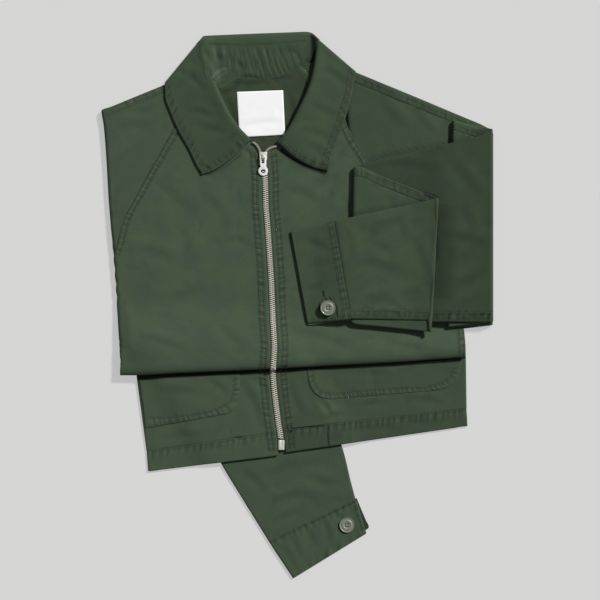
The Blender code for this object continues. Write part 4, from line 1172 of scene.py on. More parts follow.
def rim(rows, columns):
    """Grid indices round the edge, the way the faces of the grid run."""
    down = [(i, 0) for i in range(rows)]
    across = [(rows - 1, j) for j in range(1, columns)]
    up = [(i, columns - 1) for i in range(rows - 2, -1, -1)]
    back = [(0, j) for j in range(columns - 2, 0, -1)]
    return np.array([i * columns + j for i, j in down + across + up + back])


def grid_faces(rows, columns):
    corner = (np.arange(rows - 1)[:, None] * columns + np.arange(columns - 1)[None, :]).ravel()
    return np.stack([corner, corner + columns, corner + columns + 1, corner + 1], axis=1)


EDGE_ROUND = 0.35  # of the wall, by which the cut edge of the cloth bulges
LEAST_BEND = 0.3  # mm off a straight run past which a line of the unseen side is kept
SHADING_AND_WEAR_LIMITS = (-2.3, 1.5)  # darkest painted shade, and palest wear with painted highlights
EDGE_WORN = 0.5  # by which the cut edge is paler


def needed(lines):
    """Numbers of the lines that a wall's unseen side keeps: on a straight run, every other one."""
    kept = [0]
    for number in range(1, len(lines) - 1):
        bend = np.abs(lines[number] - (lines[number - 1] + lines[number + 1]) / 2).max()
        if bend > LEAST_BEND or kept[-1] < number - 1:
            kept.append(number)
    return kept + [len(lines) - 1]


def unseen_faces(inner, count):
    """Faces of the unseen side, with every point of its edge and the needed ones inside it."""
    rows, columns = inner.shape[:2]
    across, down = needed(inner.transpose(1, 0, 2)), needed(inner)
    faces = []
    for top, bottom in zip(down, down[1:]):
        for left, right in zip(across, across[1:]):
            ring = [(top, j) for j in (range(left, right) if top == 0 else [left])]
            ring += [(i, right) for i in (range(top, bottom) if right == columns - 1 else [top])]
            ring += [(bottom, j) for j in (range(right, left, -1) if bottom == rows - 1 else [right])]
            ring += [(i, left) for i in (range(bottom, top, -1) if left == 0 else [bottom])]
            faces.append([count + i * columns + j for i, j in ring])
    return faces


def shell(cloth):
    """The closed wall of a piece, with rounded edges."""
    rows, columns = cloth.middle.shape[:2]
    half = (cloth.wall / 2)[..., None]
    outer, inner = cloth.middle + cloth.normal * half, cloth.middle - cloth.normal * half
    count = rows * columns
    edge = rim(rows, columns)
    flat = cloth.middle.reshape(-1, 3)
    within = np.clip(np.arange(rows), 1, rows - 2)[:, None] * columns
    within = within + np.clip(np.arange(columns), 1, columns - 2)[None, :]
    away = flat[edge] - flat[within.ravel()[edge]]
    away /= np.maximum(np.linalg.norm(away, axis=1, keepdims=True), 1e-9)
    bulge = flat[edge] + away * (cloth.wall.ravel()[edge] * EDGE_ROUND)[:, None]
    ring = 2 * count + np.arange(len(edge))
    after, ring_after = np.roll(edge, -1), np.roll(ring, -1)
    faces = grid_faces(rows, columns).tolist() + unseen_faces(inner, count)
    faces += np.stack([after, edge, ring, ring_after], axis=1).tolist()
    faces += np.stack([ring_after, ring, edge + count, after + count], axis=1).tolist()
    points = np.concatenate([outer.reshape(-1, 3), inner.reshape(-1, 3), bulge])
    points[:, 2] = np.maximum(points[:, 2], 0)
    uv = np.stack([cloth.run["left"].ravel(), cloth.run["top"].ravel()], axis=1)
    worn = np.clip(cloth.worn.ravel(), *SHADING_AND_WEAR_LIMITS)
    uv = np.concatenate([uv, uv, uv[edge]])
    worn = np.concatenate([worn, worn, worn[edge] + EDGE_WORN])
    used = np.unique(np.concatenate([np.array(face) for face in faces]))
    place = np.zeros(len(points), int)
    place[used] = np.arange(len(used))
    faces = [place[face].tolist() for face in faces]
    return mesh_object(cloth.name + "_cloth", points[used], faces, uv[used], worn[used])


def block(name, plan, top, levels):
    """The solid under the fronts: rounded layers at its side, a flat bottom."""
    plan = np.asarray(plan, float)
    level = np.zeros(plan.shape[:2])
    plan = refined(np.dstack([plan, level]), level, BLOCK_STEP)[..., :2]
    rows, columns = plan.shape[:2]
    height = top(plan[..., 0], plan[..., 1])
    edge = rim(rows, columns)
    ring = plan.reshape(-1, 2)[edge]
    run = np.roll(ring, -1, axis=0) - np.roll(ring, 1, axis=0)
    run /= np.linalg.norm(run, axis=1, keepdims=True)
    inward = np.stack([-run[:, 1], run[:, 0]], axis=1)
    length = np.cumsum(np.linalg.norm(np.roll(ring, -1, axis=0) - ring, axis=1))
    points = [np.dstack([plan, height]).reshape(-1, 3)]
    faces = grid_faces(rows, columns).tolist()
    levels = np.asarray(levels, float)
    fine = np.linspace(0, len(levels) - 1, 4 * (len(levels) - 1) + 1)
    above, first = edge, rows * columns
    for share, inset in read(levels, np.arange(len(levels)), fine):
        wavy = inset + (0.25 * uneven(length, 47, share * 9) if 0.0 < share < 0.95 else 0)
        outline = ring + inward * np.reshape(wavy, (-1, 1))
        points.append(np.column_stack([outline, height.reshape(-1)[edge] * share]))
        here = first + np.arange(len(edge))
        faces += np.stack([np.roll(above, -1), above, here, np.roll(here, -1)], axis=1).tolist()
        above = here
        first += len(edge)
    faces.append(above[::-1].tolist())
    points = np.concatenate(points)
    uv = points[:, :2] + points[:, 2:]
    return mesh_object(name + "_cloth", points, faces, uv, np.zeros(len(points)))


# ---------------------------------------------------------------- modelled forms


def select_only(made):
    bpy.ops.object.select_all(action="DESELECT")
    made.select_set(True)
    bpy.context.view_layer.objects.active = made


def carve(made, tool):
    """Cuts the tool's form out of a piece; the tool goes."""
    cut_out = made.modifiers.new("cut", "BOOLEAN")
    cut_out.operation, cut_out.solver, cut_out.object = "DIFFERENCE", "EXACT", tool
    select_only(made)
    bpy.ops.object.modifier_apply(modifier=cut_out.name)
    bpy.data.objects.remove(tool)


def round_edges(made, width):
    """Rounds the sharp edges of the piece that was made last."""
    bpy.ops.object.modifier_add(type="BEVEL")
    rounding = made.modifiers[-1]
    rounding.width, rounding.segments, rounding.limit_method = width, 2, "ANGLE"
    bpy.ops.object.modifier_apply(modifier=rounding.name)


def as_model(made):
    """Points and faces of a small form that is repeated many times; the form itself goes."""
    points = np.array([v.co for v in made.data.vertices])
    faces = [list(p.vertices) for p in made.data.polygons]
    bpy.data.objects.remove(made)
    return points, faces


# ---------------------------------------------------------------- stitches

STITCH_PITCH = 3.1
STITCH_RADIUS = 0.3
STITCH_MIDDLE = 1.5  # length of its straight middle
STITCH_END = 0.55  # length of each end, and the share of the thickness that is left there
STITCH_SINK = 0.16  # by which the ends dip


def stitch_line(points, outs):
    """Middle, direction and outward normal of each stitch along a line in space."""
    points, outs = np.asarray(points, float), np.asarray(outs, float)
    run = lengths(points)
    places = np.arange(STITCH_PITCH / 2, run[-1] - STITCH_PITCH / 2, STITCH_PITCH)
    made = []
    ahead, behind = read(points, run, places + 1), read(points, run, places - 1)
    for place, way, up in zip(read(points, run, places), ahead - behind, read(outs, run, places)):
        way = way / max(np.linalg.norm(way), 1e-9)
        up = up - way * float(up @ way)
        up = up / max(np.linalg.norm(up), 1e-9)
        made.append((place, way, up))
    return made


def rows_on_edge(cloth, seam, offset):
    """A row of stitches at a distance from an edge of the piece."""
    edge = seam["edge"]
    surface, out = cloth.outside(), cloth.normal * cloth.face
    side = cloth.run[edge]
    along_rows = edge in ("left", "right")
    if not along_rows:
        side, surface, out = side.T, surface.transpose(1, 0, 2), out.transpose(1, 0, 2)
    points, outs = [], []
    for here, places, ways in zip(side, surface, out):
        order = slice(None) if here[0] < here[-1] else slice(None, None, -1)
        if here.max() >= offset:
            points.append(read(places[order], here[order], offset))
            outs.append(read(ways[order], here[order], offset))
    return stitch_line(points, outs) if len(points) > 2 else []


def rows_on_line(made, seam, offset):
    """A row of stitches beside a line, dropped on the piece from above."""
    line = curve(seam["line"], 1.5)
    way = np.gradient(line, axis=0)
    way /= np.linalg.norm(way, axis=1, keepdims=True)
    left = np.stack([-way[:, 1], way[:, 0]], axis=1) * seam.get("turn", 1)
    tree = BVHTree.FromObject(made, bpy.context.evaluated_depsgraph_get())
    points, outs = [], []
    for x, y in line + left * offset:
        hit, normal, _, _ = tree.ray_cast(Vector((x * MM, y * MM, 0.1)), Vector((0, 0, -1)))
        if hit is None:
            continue
        points.append(np.array(hit) / MM)
        outs.append(np.array(normal))
    return stitch_line(points, outs) if len(points) > 2 else []


def stitch_model():
    """One stitch: a short thread that sinks into the cloth at both ends."""
    bpy.ops.object.select_all(action="DESELECT")
    bpy.ops.mesh.primitive_cylinder_add(
        vertices=6, radius=STITCH_RADIUS, depth=STITCH_MIDDLE, rotation=(0, math.pi / 2, 0),
    )
    made = bpy.context.object
    bpy.ops.object.transform_apply(location=True, rotation=True, scale=True)
    bpy.ops.object.mode_set(mode="EDIT")
    bpy.ops.mesh.select_mode(type="FACE")
    for side in (-1, 1):
        bpy.ops.mesh.select_all(action="DESELECT")
        shape = bmesh.from_edit_mesh(made.data)
        for face in shape.faces:
            face.select_set(face.normal.x * side > 0.9)
        bmesh.update_edit_mesh(made.data)
        dip = (side * STITCH_END, 0, -STITCH_SINK)
        bpy.ops.mesh.extrude_region_move(TRANSFORM_OT_translate={"value": dip})
        bpy.ops.transform.resize(value=(1, STITCH_END, STITCH_END))
    bpy.ops.object.mode_set(mode="OBJECT")
    return as_model(made)


def repeated(name, model, places, finish):
    """One mesh of a model repeated at places, each with its direction and outward normal."""
    points, faces = model
    every, every_face = [], []
    for k, (place, way, up) in enumerate(places):
        every.append(points @ np.stack([way, np.cross(up, way), up]) + place)
        every_face += [[i + k * len(points) for i in face] for face in faces]
    made = mesh_object(name, np.concatenate(every), every_face)
    made.data.materials.append(finish)
    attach(made, "jacket")
    return made


# ---------------------------------------------------------------- materials


class Value:
    """An output in a material's node tree, with shader maths as operators."""

    def __init__(self, tree, socket):
        self.tree, self.socket = tree, socket

    def maths(self, operation, *values):
        return self.tree.node("ShaderNodeMath", values, operation=operation)

    def __add__(self, other):
        return self.maths("ADD", self, other)

    def __sub__(self, other):
        return self.maths("SUBTRACT", self, other)

    def __mul__(self, other):
        return self.maths("MULTIPLY", self, other)

    def __rsub__(self, other):
        return self.maths("SUBTRACT", other, self)

    __radd__, __rmul__ = __add__, __mul__


class Looks:
    """A material with a Principled surface, built from nodes."""

    def __init__(self, name, **constants):
        self.material = bpy.data.materials.new(name)
        self.material.use_nodes = True
        self.nodes = self.material.node_tree
        self.surface = self.nodes.nodes["Principled BSDF"]
        self.set(**constants)

    def node(self, kind, values=(), out=0, **settings):
        made = self.nodes.nodes.new(kind)
        for key, value in settings.items():
            setattr(made, key, value)
        items = values.items() if isinstance(values, dict) else enumerate(values)
        for key, value in items:
            self.feed(made.inputs[key], value)
        return Value(self, made.outputs[out])

    def feed(self, socket, value):
        if isinstance(value, Value):
            self.nodes.links.new(value.socket, socket)
        elif isinstance(value, tuple) and len(value) == 3 and socket.type == "RGBA":
            socket.default_value = (*value, 1)
        else:
            socket.default_value = value

    def set(self, **inputs):
        for key, value in inputs.items():
            self.feed(self.surface.inputs[key.replace("_", " ").title().replace("Ior", "IOR")], value)

    def blend(self, share, first, last):
        """A colour between two, by a share."""
        made = self.nodes.nodes.new("ShaderNodeMix")
        made.data_type = "RGBA"
        for key, value in (("Factor_Float", share), ("A_Color", first), ("B_Color", last)):
            self.feed(next(s for s in made.inputs if s.identifier == key), value)
        return Value(self, next(s for s in made.outputs if s.identifier == "Result_Color"))

    def noise(self, where, scale, detail=2, roughness=0.5):
        values = {"Vector": where, "Scale": scale, "Detail": detail, "Roughness": roughness}
        return self.node("ShaderNodeTexNoise", values)


def linear(colour):
    """A colour given as 0 to 255 on screen, as light."""
    return tuple(((c / 255.0 + 0.055) / 1.055) ** 2.4 if c > 10 else c / 255.0 / 12.92 for c in colour)


def scaled(colour, factor):
    return tuple(min(1, c * factor) for c in colour)


TWILL_RIB = 0.00058  # metres between two diagonal ribs
CLOTH_GAIN = 0.94
# share of the paler colour (wear, painted highlights) and of the darker colour (painted shade, darker tones)
# for each unit, and that colour's factor
PALE_WEAR_AND_LIGHT = (0.36, 1.75)
DARK_SHADE_AND_TONE = (-0.43, 0.1)


def twill(name, colour, turn=0):
    """Washed cotton twill: diagonal ribs, slubs, soft mottling, paler with wear and painted highlights,
    darker with painted shade.
    """
    look = Looks(name, roughness=0.86, sheen_weight=0.05, sheen_roughness=0.5, specular_ior_level=0.14)
    place = look.node("ShaderNodeUVMap", uv_map="weave")
    place = look.node("ShaderNodeMapping", {"Vector": place, "Rotation": (0, 0, turn)})
    base = scaled(linear(colour), CLOTH_GAIN)
    wide = look.noise(place, 34, 4, 0.62)
    small = look.noise(place, 170, 3, 0.6)
    slubs = look.node("ShaderNodeMapping", {"Vector": place, "Scale": (1, 0.35, 1)})
    grain = look.noise(slubs, 1500, 2, 0.7)
    blue = (base[0] * 0.82, base[1] * 0.91, base[2] * 1.03)
    pale = (base[0] * 1.22, base[1] * 1.13, base[2] * 0.95)
    tone = look.blend(wide * 3.0 - 1, blue, pale)
    tone = look.blend((small - 0.5) * 0.5 + 0.25, tone, scaled(base, 1.14))
    tone = look.blend((grain - 0.5) * 1.4 + 0.25, tone, scaled(base, 0.62))
    # the points' wear, painted shade and painted highlights
    worn = look.node("ShaderNodeAttribute", out=2, attribute_name="worn")
    for gain, factor in (PALE_WEAR_AND_LIGHT, DARK_SHADE_AND_TONE):
        tone = look.blend(worn * gain, tone, scaled(base, factor))
    ribs = look.node("ShaderNodeTexWave", {
        "Vector": look.node("ShaderNodeMapping", {"Vector": place, "Rotation": (0, 0, 1.1)}),
        "Scale": 0.314 / TWILL_RIB, "Distortion": 0.6, "Detail": 1, "Detail Scale": 3,
    }, out=1, bands_direction="X")
    height = ribs * 0.5 + grain * 0.7 + small * 0.4
    normal = look.node("ShaderNodeBump", {"Height": height, "Strength": 0.5, "Distance": 0.00012})
    look.set(base_color=tone, normal=normal, roughness=0.8 + wide * 0.12)
    return look.material


CHEST = twill("twill_chest", (68, 83, 65))
SLEEVE_HEAD = twill("twill_sleeve_head", (67, 81, 65))
SLEEVE = twill("twill_sleeve", (62, 77, 59), 0.6)
SLEEVE_END = twill("twill_sleeve_end", (63, 78, 61), 0.6)
BAND = twill("twill_band", (66, 81, 63), 1.57)
LEAF = twill("twill_collar", (61, 76, 58), 1.2)
INSIDE = twill("twill_inside", (54, 67, 50), 0.3)


def plain(name, colour, **constants):
    look = Looks(name, **constants)
    place = look.node("ShaderNodeTexCoord", out=3)
    patchy = look.noise(place, 900, 3, 0.6)
    base = linear(colour)
    look.set(
        base_color=look.blend(patchy, scaled(base, 0.86), scaled(base, 1.14)),
        normal=look.node("ShaderNodeBump", {"Height": patchy, "Strength": 0.25, "Distance": 0.00008}),
    )
    return look.material


THREAD = plain("thread_green", (58, 71, 55), roughness=0.6, sheen_weight=0.2)
TAPE = plain("zip_tape_green", (66, 76, 64), roughness=0.9, sheen_weight=0.2)
TEETH = plain("zip_metal", (204, 200, 186), roughness=0.4, metallic=0.3)
TEETH_DIM = plain("zip_metal_dim", (158, 152, 136), roughness=0.4, metallic=0.3)
# the pull's near-white colour is partly the metal's own pale colour and partly painted highlight for its
# shine
PULL_METAL = plain("slider_metal", (248, 247, 242), roughness=0.3, metallic=0.1)
BODY_METAL = plain("zip_box_metal", (206, 206, 198), roughness=0.3, metallic=0.3)
BUTTON = plain("button_resin", (112, 120, 104), roughness=0.42, coat_weight=0.15)


def label_cloth():
    """White satin weave, with a fine cross rib."""
    look = Looks("label_satin", roughness=0.55, sheen_weight=0.25)
    place = look.node("ShaderNodeUVMap", uv_map="weave")
    ribs = look.node(
        "ShaderNodeTexWave", {"Vector": place, "Scale": 1100, "Distortion": 0.3, "Detail": 1.0},
        out=1, bands_direction="Y",
    )
    soft = look.noise(place, 60, 2)
    white = linear((241, 242, 245))
    look.set(
        base_color=look.blend(soft * 0.5 + ribs * 0.2, white, scaled(white, 0.93)),
        normal=look.node("ShaderNodeBump", {"Height": ribs, "Strength": 0.3, "Distance": 0.00008}),
    )
    return look.material


SATIN = label_cloth()

# ---------------------------------------------------------------- dressed pieces


def stand_for(made, name, finish, body="jacket"):
    """Gives a piece its finish and puts it in the place of a node."""
    made.data.materials.append(finish)
    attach(made, body)
    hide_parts(name)


def dress(name, finish, seams=(), creases=(), step=STEP, tags=None,
          cuts=(), shades=(), tones=(), under=None):
    """Makes a node's cloth: its form refined, sewn, creased, stitched, and given its finish.

    tones are pairs of a layer and how much paler it is; tags give each row's layer.
    """
    cloth = Cloth(name, step, tags)
    sew(cloth, seams)
    crease(cloth, creases)
    cut(cloth, cuts)
    edge_shade(cloth, shades)
    if under:
        under_fold(cloth, *under)
    for layer, tone in tones:
        cloth.worn += tone * (np.abs(cloth.layer - layer) < 0.45)
    spread_out = cloth.run["left"].max() * cloth.run["top"].max()
    crumple(cloth, int(spread_out / 900), sum(name.encode()))
    cloth.settle()
    made = shell(cloth)
    stand_for(made, name, finish)
    bpy.context.view_layer.update()
    places = []
    for seam in seams:
        for offset in seam["rows"]:
            if "edge" in seam:
                places += rows_on_edge(cloth, seam, offset)
            else:
                places += rows_on_line(made, seam, offset)
    if places:
        repeated(name + "_stitches", STITCH, places, THREAD)


STITCH = stitch_model()
RIGHT_RAGLAN_CURVE = RIGHT_RAGLAN + [(-221, 62)]
ZIP_LINE = [(-41, 186)] + ZIP[1:]
# painted shade on the upper fronts along the waist fold's edge
SHADE_ABOVE_WAIST = ([(x, y + 2) for x, y in WAIST_EDGE], 5.5, 0, 1)
UNDER_WAIST = (WAIST_EDGE, (4.6, 0.6), 2.3)  # the dark under the waist fold


def zip_seams(side):
    """Two rows of stitching beside the zip, with puckers towards the front."""
    return [{
        "line": ZIP_LINE, "turn": side, "rows": (9.8, 15), "band": (-40, 16.4, 0.3),
        "pucker": (0.26, 7, 12.6, 3.6), "dark": 1.5,
    }]


front_right()
dress(
    "front_right", CHEST,
    seams=[
        {"line": RIGHT_RAGLAN_CURVE, "rows": (1.2, 7.2), "band": (-20, 8.2, 0.25),
         "pucker": (0.36, 6.2, 4.6, 3.4), "dark": 1.6},
        *zip_seams(-1),
    ],
    creases=[
        (0, (-64.8, 186.4), (-50.4, 174.4), 0.1, 0.5, 3), (0, (-202.8, 66.4), (-145.2, 52), 0.08, 0.35, 6),
        (0, (-176.4, 6.4), (-109.2, 23.2), -0.06, 0.3, 7), (0, (-121.2, 138.4), (-80.4, 88), 0.07, 0.28, 7),
        (0, (-193.2, -39.2), (-128.4, -56), 0.05, 0.4, 5), (0, (-99.6, -15.2), (-58.8, -53.6), -0.06, 0.3, 6),
        (0, (-164.4, 155.2), (-121.2, 109.6), -0.08, 0.28, 8), (0, (-90, 78.4), (-46.8, 64), 0.1, 0.25, 5),
        (0, (-214.8, 6.4), (-207.6, -56), 0.05, 0.4, 5), (0, (-145.2, 95.2), (-128.4, 54.4), 0.1, 0.2, 6),
    ],
    # painted shade above the waist fold, and a painted shadow under the right collar leaf's lower edge
    cuts=[SHADE_ABOVE_WAIST, ([(-110.4, 155.2), (-85.2, 167.2), (-67.2, 180.8)], 1.6, 0, 1)],
)
front_left()
dress(
    "front_left", CHEST,
    seams=[
        {"line": LEFT_RAGLAN, "rows": (-1.4, -7.2), "band": (-8.4, 20, 0.25),
         "pucker": (0.34, 6.4, -4.4, 3.4), "dark": 1.5},
        *zip_seams(1),
    ],
    creases=[
        (0, (-18, 138.4), (30, 119.2), 0.1, 0.35, 6), (0, (3.6, 131.2), (51.6, 155.2), 0.08, 0.3, 6),
        (0, (-15.6, -29.6), (75.6, -56), 0.05, 0.35, 6), (0, (99.6, -41.6), (171.6, -53.6), -0.04, 0.35, 5),
        (0, (39.6, -46.4), (135.6, -36.8), 0.04, 0.25, 7),
    ],
    cuts=[
        SHADE_ABOVE_WAIST,
        # painted shadow under the left collar leaf's lower edge
        ([(-20.4, 187.6), (-10.8, 179.6), (3.6, 170.8), (21.6, 162.8), (36, 158.3)], 2.6, 0, 2.3),
    ],
)
sleeve_right_head()
dress(
    "sleeve_right_head", SLEEVE_HEAD,
    seams=[
        {"line": [(-234, 234.4), (-159.6, 266.8)], "turn": -1, "rows": (3, 9), "band": (2, 10.2, 0.25),
         "pucker": (0.3, 9, 6, 4.5)},
    ],
    creases=[
        (0, (-222, 210.4), (-176.4, 212.8), 0.1, 0.35, 5),
        (0, (-224.4, 164.8), (-193.2, 186.4), 0.08, 0.3, 5),
        (0, (-222, 119.2), (-205.2, 145.6), 0.1, 0.3, 4),
        (0, (-207.6, 232), (-164.4, 241.6), -0.08, 0.25, 4),
    ],
)
hidden = hidden_layers()
waist_layers()
dress("waist_layers", INSIDE)
lower_fronts()
hem_bands()
back_lower()
pockets()
dress(
    "front_right_lower", BAND,
    seams=zip_seams(-1),
    creases=[
        (0, (-68.4, -89.6), (-42, -149.6), 0.06, 0.4, 5), (0, (-61.2, -84.8), (-32.4, -108.8), 0.1, 0.3, 4),
        (0, (-164.4, -161.6), (-109.2, -156.8), 0.05, 0.3, 4),
    ],
    # a short groove with painted shade, and the painted shadow under the waist fold
    cuts=[([(-75.6, -158.8), (-64.8, -157.6)], 1, 0.3, 2)], under=UNDER_WAIST,
)
dress(
    "front_left_lower", BAND,
    seams=zip_seams(1),
    # a groove with painted shade along the facing's lapped edge, the painted shadow under the waist fold, and
    # a slightly darker tone
    cuts=[([(37, -144.8), (37.6, -156.8)], 0.9, 0.3, 1.6)], under=UNDER_WAIST, tones=[(0, -0.3)],
    creases=[
        (0, (25.2, -111.2), (39.6, -132.8), 0.1, 0.5, 3), (0, (30, -137.6), (57.6, -130.4), 0.1, 0.45, 3),
        (0, (-8.4, -89.6), (8.4, -135.2), -0.06, 0.35, 5),
        (0, (123.6, -113.6), (178.8, -118.4), 0.05, 0.3, 4),
        (0, (63.6, -123.2), (114, -118.4), 0.05, 0.25, 4),
    ],
)
BAND_SEAM = {"rows": (1.6,), "pucker": (0.34, 8, 4.4, 4.4)}
dress(
    "hem_band_right", BAND,
    seams=[{"edge": "top", **BAND_SEAM}, *zip_seams(-1)],
    creases=[
        (0, (-74.4, -160.4), (-64.8, -159.2), 0, 0.6, 1.6),
        (0, (-128.4, -176), (-78, -171.2), 0.05, 0.3, 4),
    ],
)
dress(
    "hem_band_left", BAND,
    seams=[{"edge": "top", **BAND_SEAM}, *zip_seams(1)],
    # grooves with painted shade along the facing's lapped edges
    cuts=[
        ([(37.2, -143.6), (37.9, -168.8)], 0.9, 0.3, 1.6),
        ([(-7.2, -147.2), (13.2, -146), (32.4, -144.1)], 1, 0.3, 2.2),
    ],
    tones=[(0, -0.6)],
    creases=[
        (0, (-7.2, -147.2), (32.4, -144.8), 0, 0.3, 1.8), (0, (51.6, -152), (123.6, -147.2), 0.04, 0.35, 4),
        (0, (123.6, -137.6), (186, -137.6), -0.04, 0.3, 4),
    ],
)
dress("back_lower", INSIDE, step=3)
RIGHT_POCKET_STITCHES = [
    (-180, -135.8), (-140.4, -133.8), (-110.4, -129.2), (-90, -122), (-79.8, -114.8),
    (-76.8, -106.4), (-75.6, -84.8),
]
LEFT_POCKET_STITCHES = [
    (19.2, -72.8), (20.4, -92), (26.4, -101.6), (36, -105.8), (52.8, -106.2), (82.8, -102.8),
    (123.6, -100), (159.6, -98), (175.2, -92.6), (184.8, -84.8), (189.6, -74),
]
POCKET_EDGE = {"edge": "bottom", "rows": (1.4,)}
dress(
    "pocket_right", BAND,
    seams=[
        {"line": RIGHT_POCKET_STITCHES, "rows": (0,), "pucker": (0.42, 7, -4.6, 5)}, POCKET_EDGE,
    ],
    creases=[
        (0, (-176.4, -104), (-109.2, -108.8), 0.06, 0.35, 5),
        (0, (-109.2, -89.6), (-82.8, -111.2), 0.1, 0.3, 4),
    ],
    under=UNDER_WAIST,
)
dress(
    "pocket_left", BAND,
    seams=[
        {"line": LEFT_POCKET_STITCHES, "rows": (0,), "pucker": (0.34, 5.5, -3, 3.6)}, POCKET_EDGE,
    ],
    creases=[(0, (39.6, -80), (111.6, -84.8), 0.04, 0.3, 4)], under=UNDER_WAIST, tones=[(0, -0.3)],
)


def sleeve_tags():
    """The layer that each row of the left sleeve belongs to; the rows of a fold are between two."""
    tags = [0]
    last = len(SLEEVE_LAYERS) - 1
    for layer, (_, _, shares) in enumerate(SLEEVE_LAYERS):
        tags += [layer] * len(shares)
        if layer < last:
            tags += [layer + 0.5] * len(FOLD_TURNS)
    return tags


sleeve_left()
TUBE_SEAM = {"edge": "right", "rows": (1.5, 7), "band": (-2, 8.4, 0.2), "pucker": (0.4, 7.5, 4.4, 4.6)}
PLAIN_EDGE = {"edge": "left", "rows": (), "pucker": (0.24, 7.5, 0, 4.5)}
SLEEVE_CREASES = [
    (0, (195.6, 205.6), (226.8, 200.8), 0, 0.45, 3), (0, (99.6, 246.4), (135.6, 212.8), 0.06, 0.4, 5),
    (0, (147.6, 232), (171.6, 208), -0.05, 0.35, 4),
    (5, (63.6, 78.4), (147.6, 100), 0.08, 0.4, 6), (5, (66, 52), (138, 30.4), 0.07, 0.4, 7),
    (5, (70.8, 6.4), (147.6, 16), -0.06, 0.4, 6), (5, (135.6, 83.2), (159.6, 18.4), 0.05, 0.35, 5),
    (5, (90, 73.6), (118.8, 52), 0.1, 0.35, 5), (4, (81.6, 155.2), (147.6, 133.6), 0.03, 0.3, 4),
    (3, (178.8, 174.4), (219.6, 126.4), 0.06, 0.4, 6), (3, (171.6, 83.2), (229.2, 71.2), 0.05, 0.4, 6),
    (3, (178.8, 23.2), (226.8, 42.4), -0.06, 0.4, 6), (3, (99.6, 169.6), (171.6, 160), 0.05, 0.35, 5),
    (3, (195.6, 119.2), (210, 83.2), 0.08, 0.3, 5), (5, (104.4, 6.4), (128.4, -12.8), 0.08, 0.3, 4),
    (5, (58.8, 95.2), (66, 52), 0.05, 0.3, 4), (5, (121.2, 109.6), (133.2, 73.6), -0.08, 0.25, 5),
]
SLEEVE_SHADOWS = [
    ([(78, 172), (123.6, 184.2), (171.6, 192.6), (195.6, 198.1), (234, 208.4)], 2.4, 0, 0.8),
    ([(79.2, 173.2), (81.6, 161.2), (100.8, 153.2), (124.8, 143.6), (148.8, 135.2), (169.2, 130.4)],
     1, 0, 0.8),
    ([(165.6, 126.4), (165.1, 44.8), (160.8, 18.4), (158.4, -14)], 1.1, 0, 1.1),
    ([(174, 121.6), (174, 66.4), (171.6, 6.4)], 13, 0, 0.55),
    ([(165.6, 128), (123.6, 119.6), (63.6, 108.4), (39.6, 103.1), (-2.4, 91.6)], 2.4, 0, 0.8),
    ([(152.4, 133.1), (160.8, 130), (168, 127.6)], 1.3, 0.3, 2.2),
    ([(210, 209.2), (224.4, 209.2), (232.8, 210.8)], 2.6, 0, 1.4),
]
for panel in ("sleeve_left_front", "sleeve_left_back"):
    dress(
        panel, SLEEVE,
        seams=[TUBE_SEAM, PLAIN_EDGE], creases=SLEEVE_CREASES, cuts=SLEEVE_SHADOWS,
        # tones: painted shade on layer 3, which faces away from the light, and layer 0 slightly darker
        step=SLEEVE_STEP, tags=sleeve_tags(), tones=((3, -0.7), (0, -0.15)),
    )
sleeve_right_end()
SLEEVE_END_CREASES = [
    (0, (-56.4, -209.6), (39.6, -188), 0.05, 0.4, 6), (0, (-42, -240.8), (25.2, -228.8), 0.06, 0.4, 5),
    (0, (3.6, -204.8), (56.4, -214.4), -0.06, 0.3, 5), (0, (-32.4, -262.4), (3.6, -248), 0.05, 0.3, 4),
    (0, (-73.2, -192.8), (-32.4, -233.6), 0.04, 0.3, 5),
]
for panel, panel_area in (("sleeve_right_end_front", 0.036), ("sleeve_right_end_back", 0.027)):
    dress(
        panel, SLEEVE_END, creases=SLEEVE_END_CREASES,
    )
cuffs()
dress(
    "cuff_right", SLEEVE_END,
    seams=[{"edge": "top", "rows": (1.6,), "pucker": (0.36, 8, 5, 4), "dark": 1.9},
           {"edge": "left", "rows": (2.4,), "pucker": (0.15, 9, 3, 3)},
           {"edge": "bottom", "rows": (), "pucker": (0.1, 14, 2, 4)}],
    creases=[
        (0, (44.4, -248), (58.8, -262.4), 0.05, 0.5, 2.6), (0, (30, -254), (39.6, -288.8), 0.05, 0.5, 3.4),
        (0, (10.8, -264.8), (25.2, -291.2), -0.05, 0.4, 3.4),
        (0, (-8.4, -276.8), (3.6, -305.6), 0.05, 0.4, 4),
        (0, (-18, -288.8), (-1.2, -320), 0.05, 0.35, 4), (0, (63.6, -239.6), (73.2, -262.4), 0, 0.3, 3),
    ],
    # painted shade on the under layer where it reaches out past the top layer's edge
    shades=[("right", 9, 1.3)], step=1.5,
)
dress(
    "cuff_left", SLEEVE,
    seams=[{"edge": "top", "rows": (1.6, 7), "band": (-2, 8.2, 0.2), "pucker": (0.36, 7.5, 4.6, 4.6)},
           {"edge": "left", "rows": (2.4,), "pucker": (0.15, 9, 3, 3)}],
    creases=[
        (0, (3.6, 78.4), (39.6, 64), 0.05, 0.35, 5), (0, (7.2, 42.4), (44.4, 52), 0.05, 0.3, 5),
        (0, (13.2, 16), (30, 25.6), 0.05, 0.3, 4),
    ],
    # grooves with painted shade along the buttonhole slit and the tab's lapped edges
    cuts=[
        ([(31.6, 17.9), (32, 10)], 0.8, 0.5, 3), ([(33.4, 9.7), (36, 5.4)], 0.7, 0.4, 2.6),
        ([(38.5, 10.2), (42.7, 4.3), (46.9, -0.7), (47.8, -7.8), (48.6, -15.7)], 0.8, 0.45, 2.2),
        ([(27.1, 2.8), (27.8, -5), (32.4, -10.9), (36, -16.4)], 0.8, 0.4, 2.2),
        ([(41.4, 12.4), (45.6, 6.4)], 0.7, 0.25, 1.4),
    ],
    step=0.95,
)
collar_leaves()
LEAF_EDGE = {"edge": "left", "rows": (3.4, 7.2), "band": (-2, 8.6, 0.2), "pucker": (0.26, 9, 5.2, 4.2)}
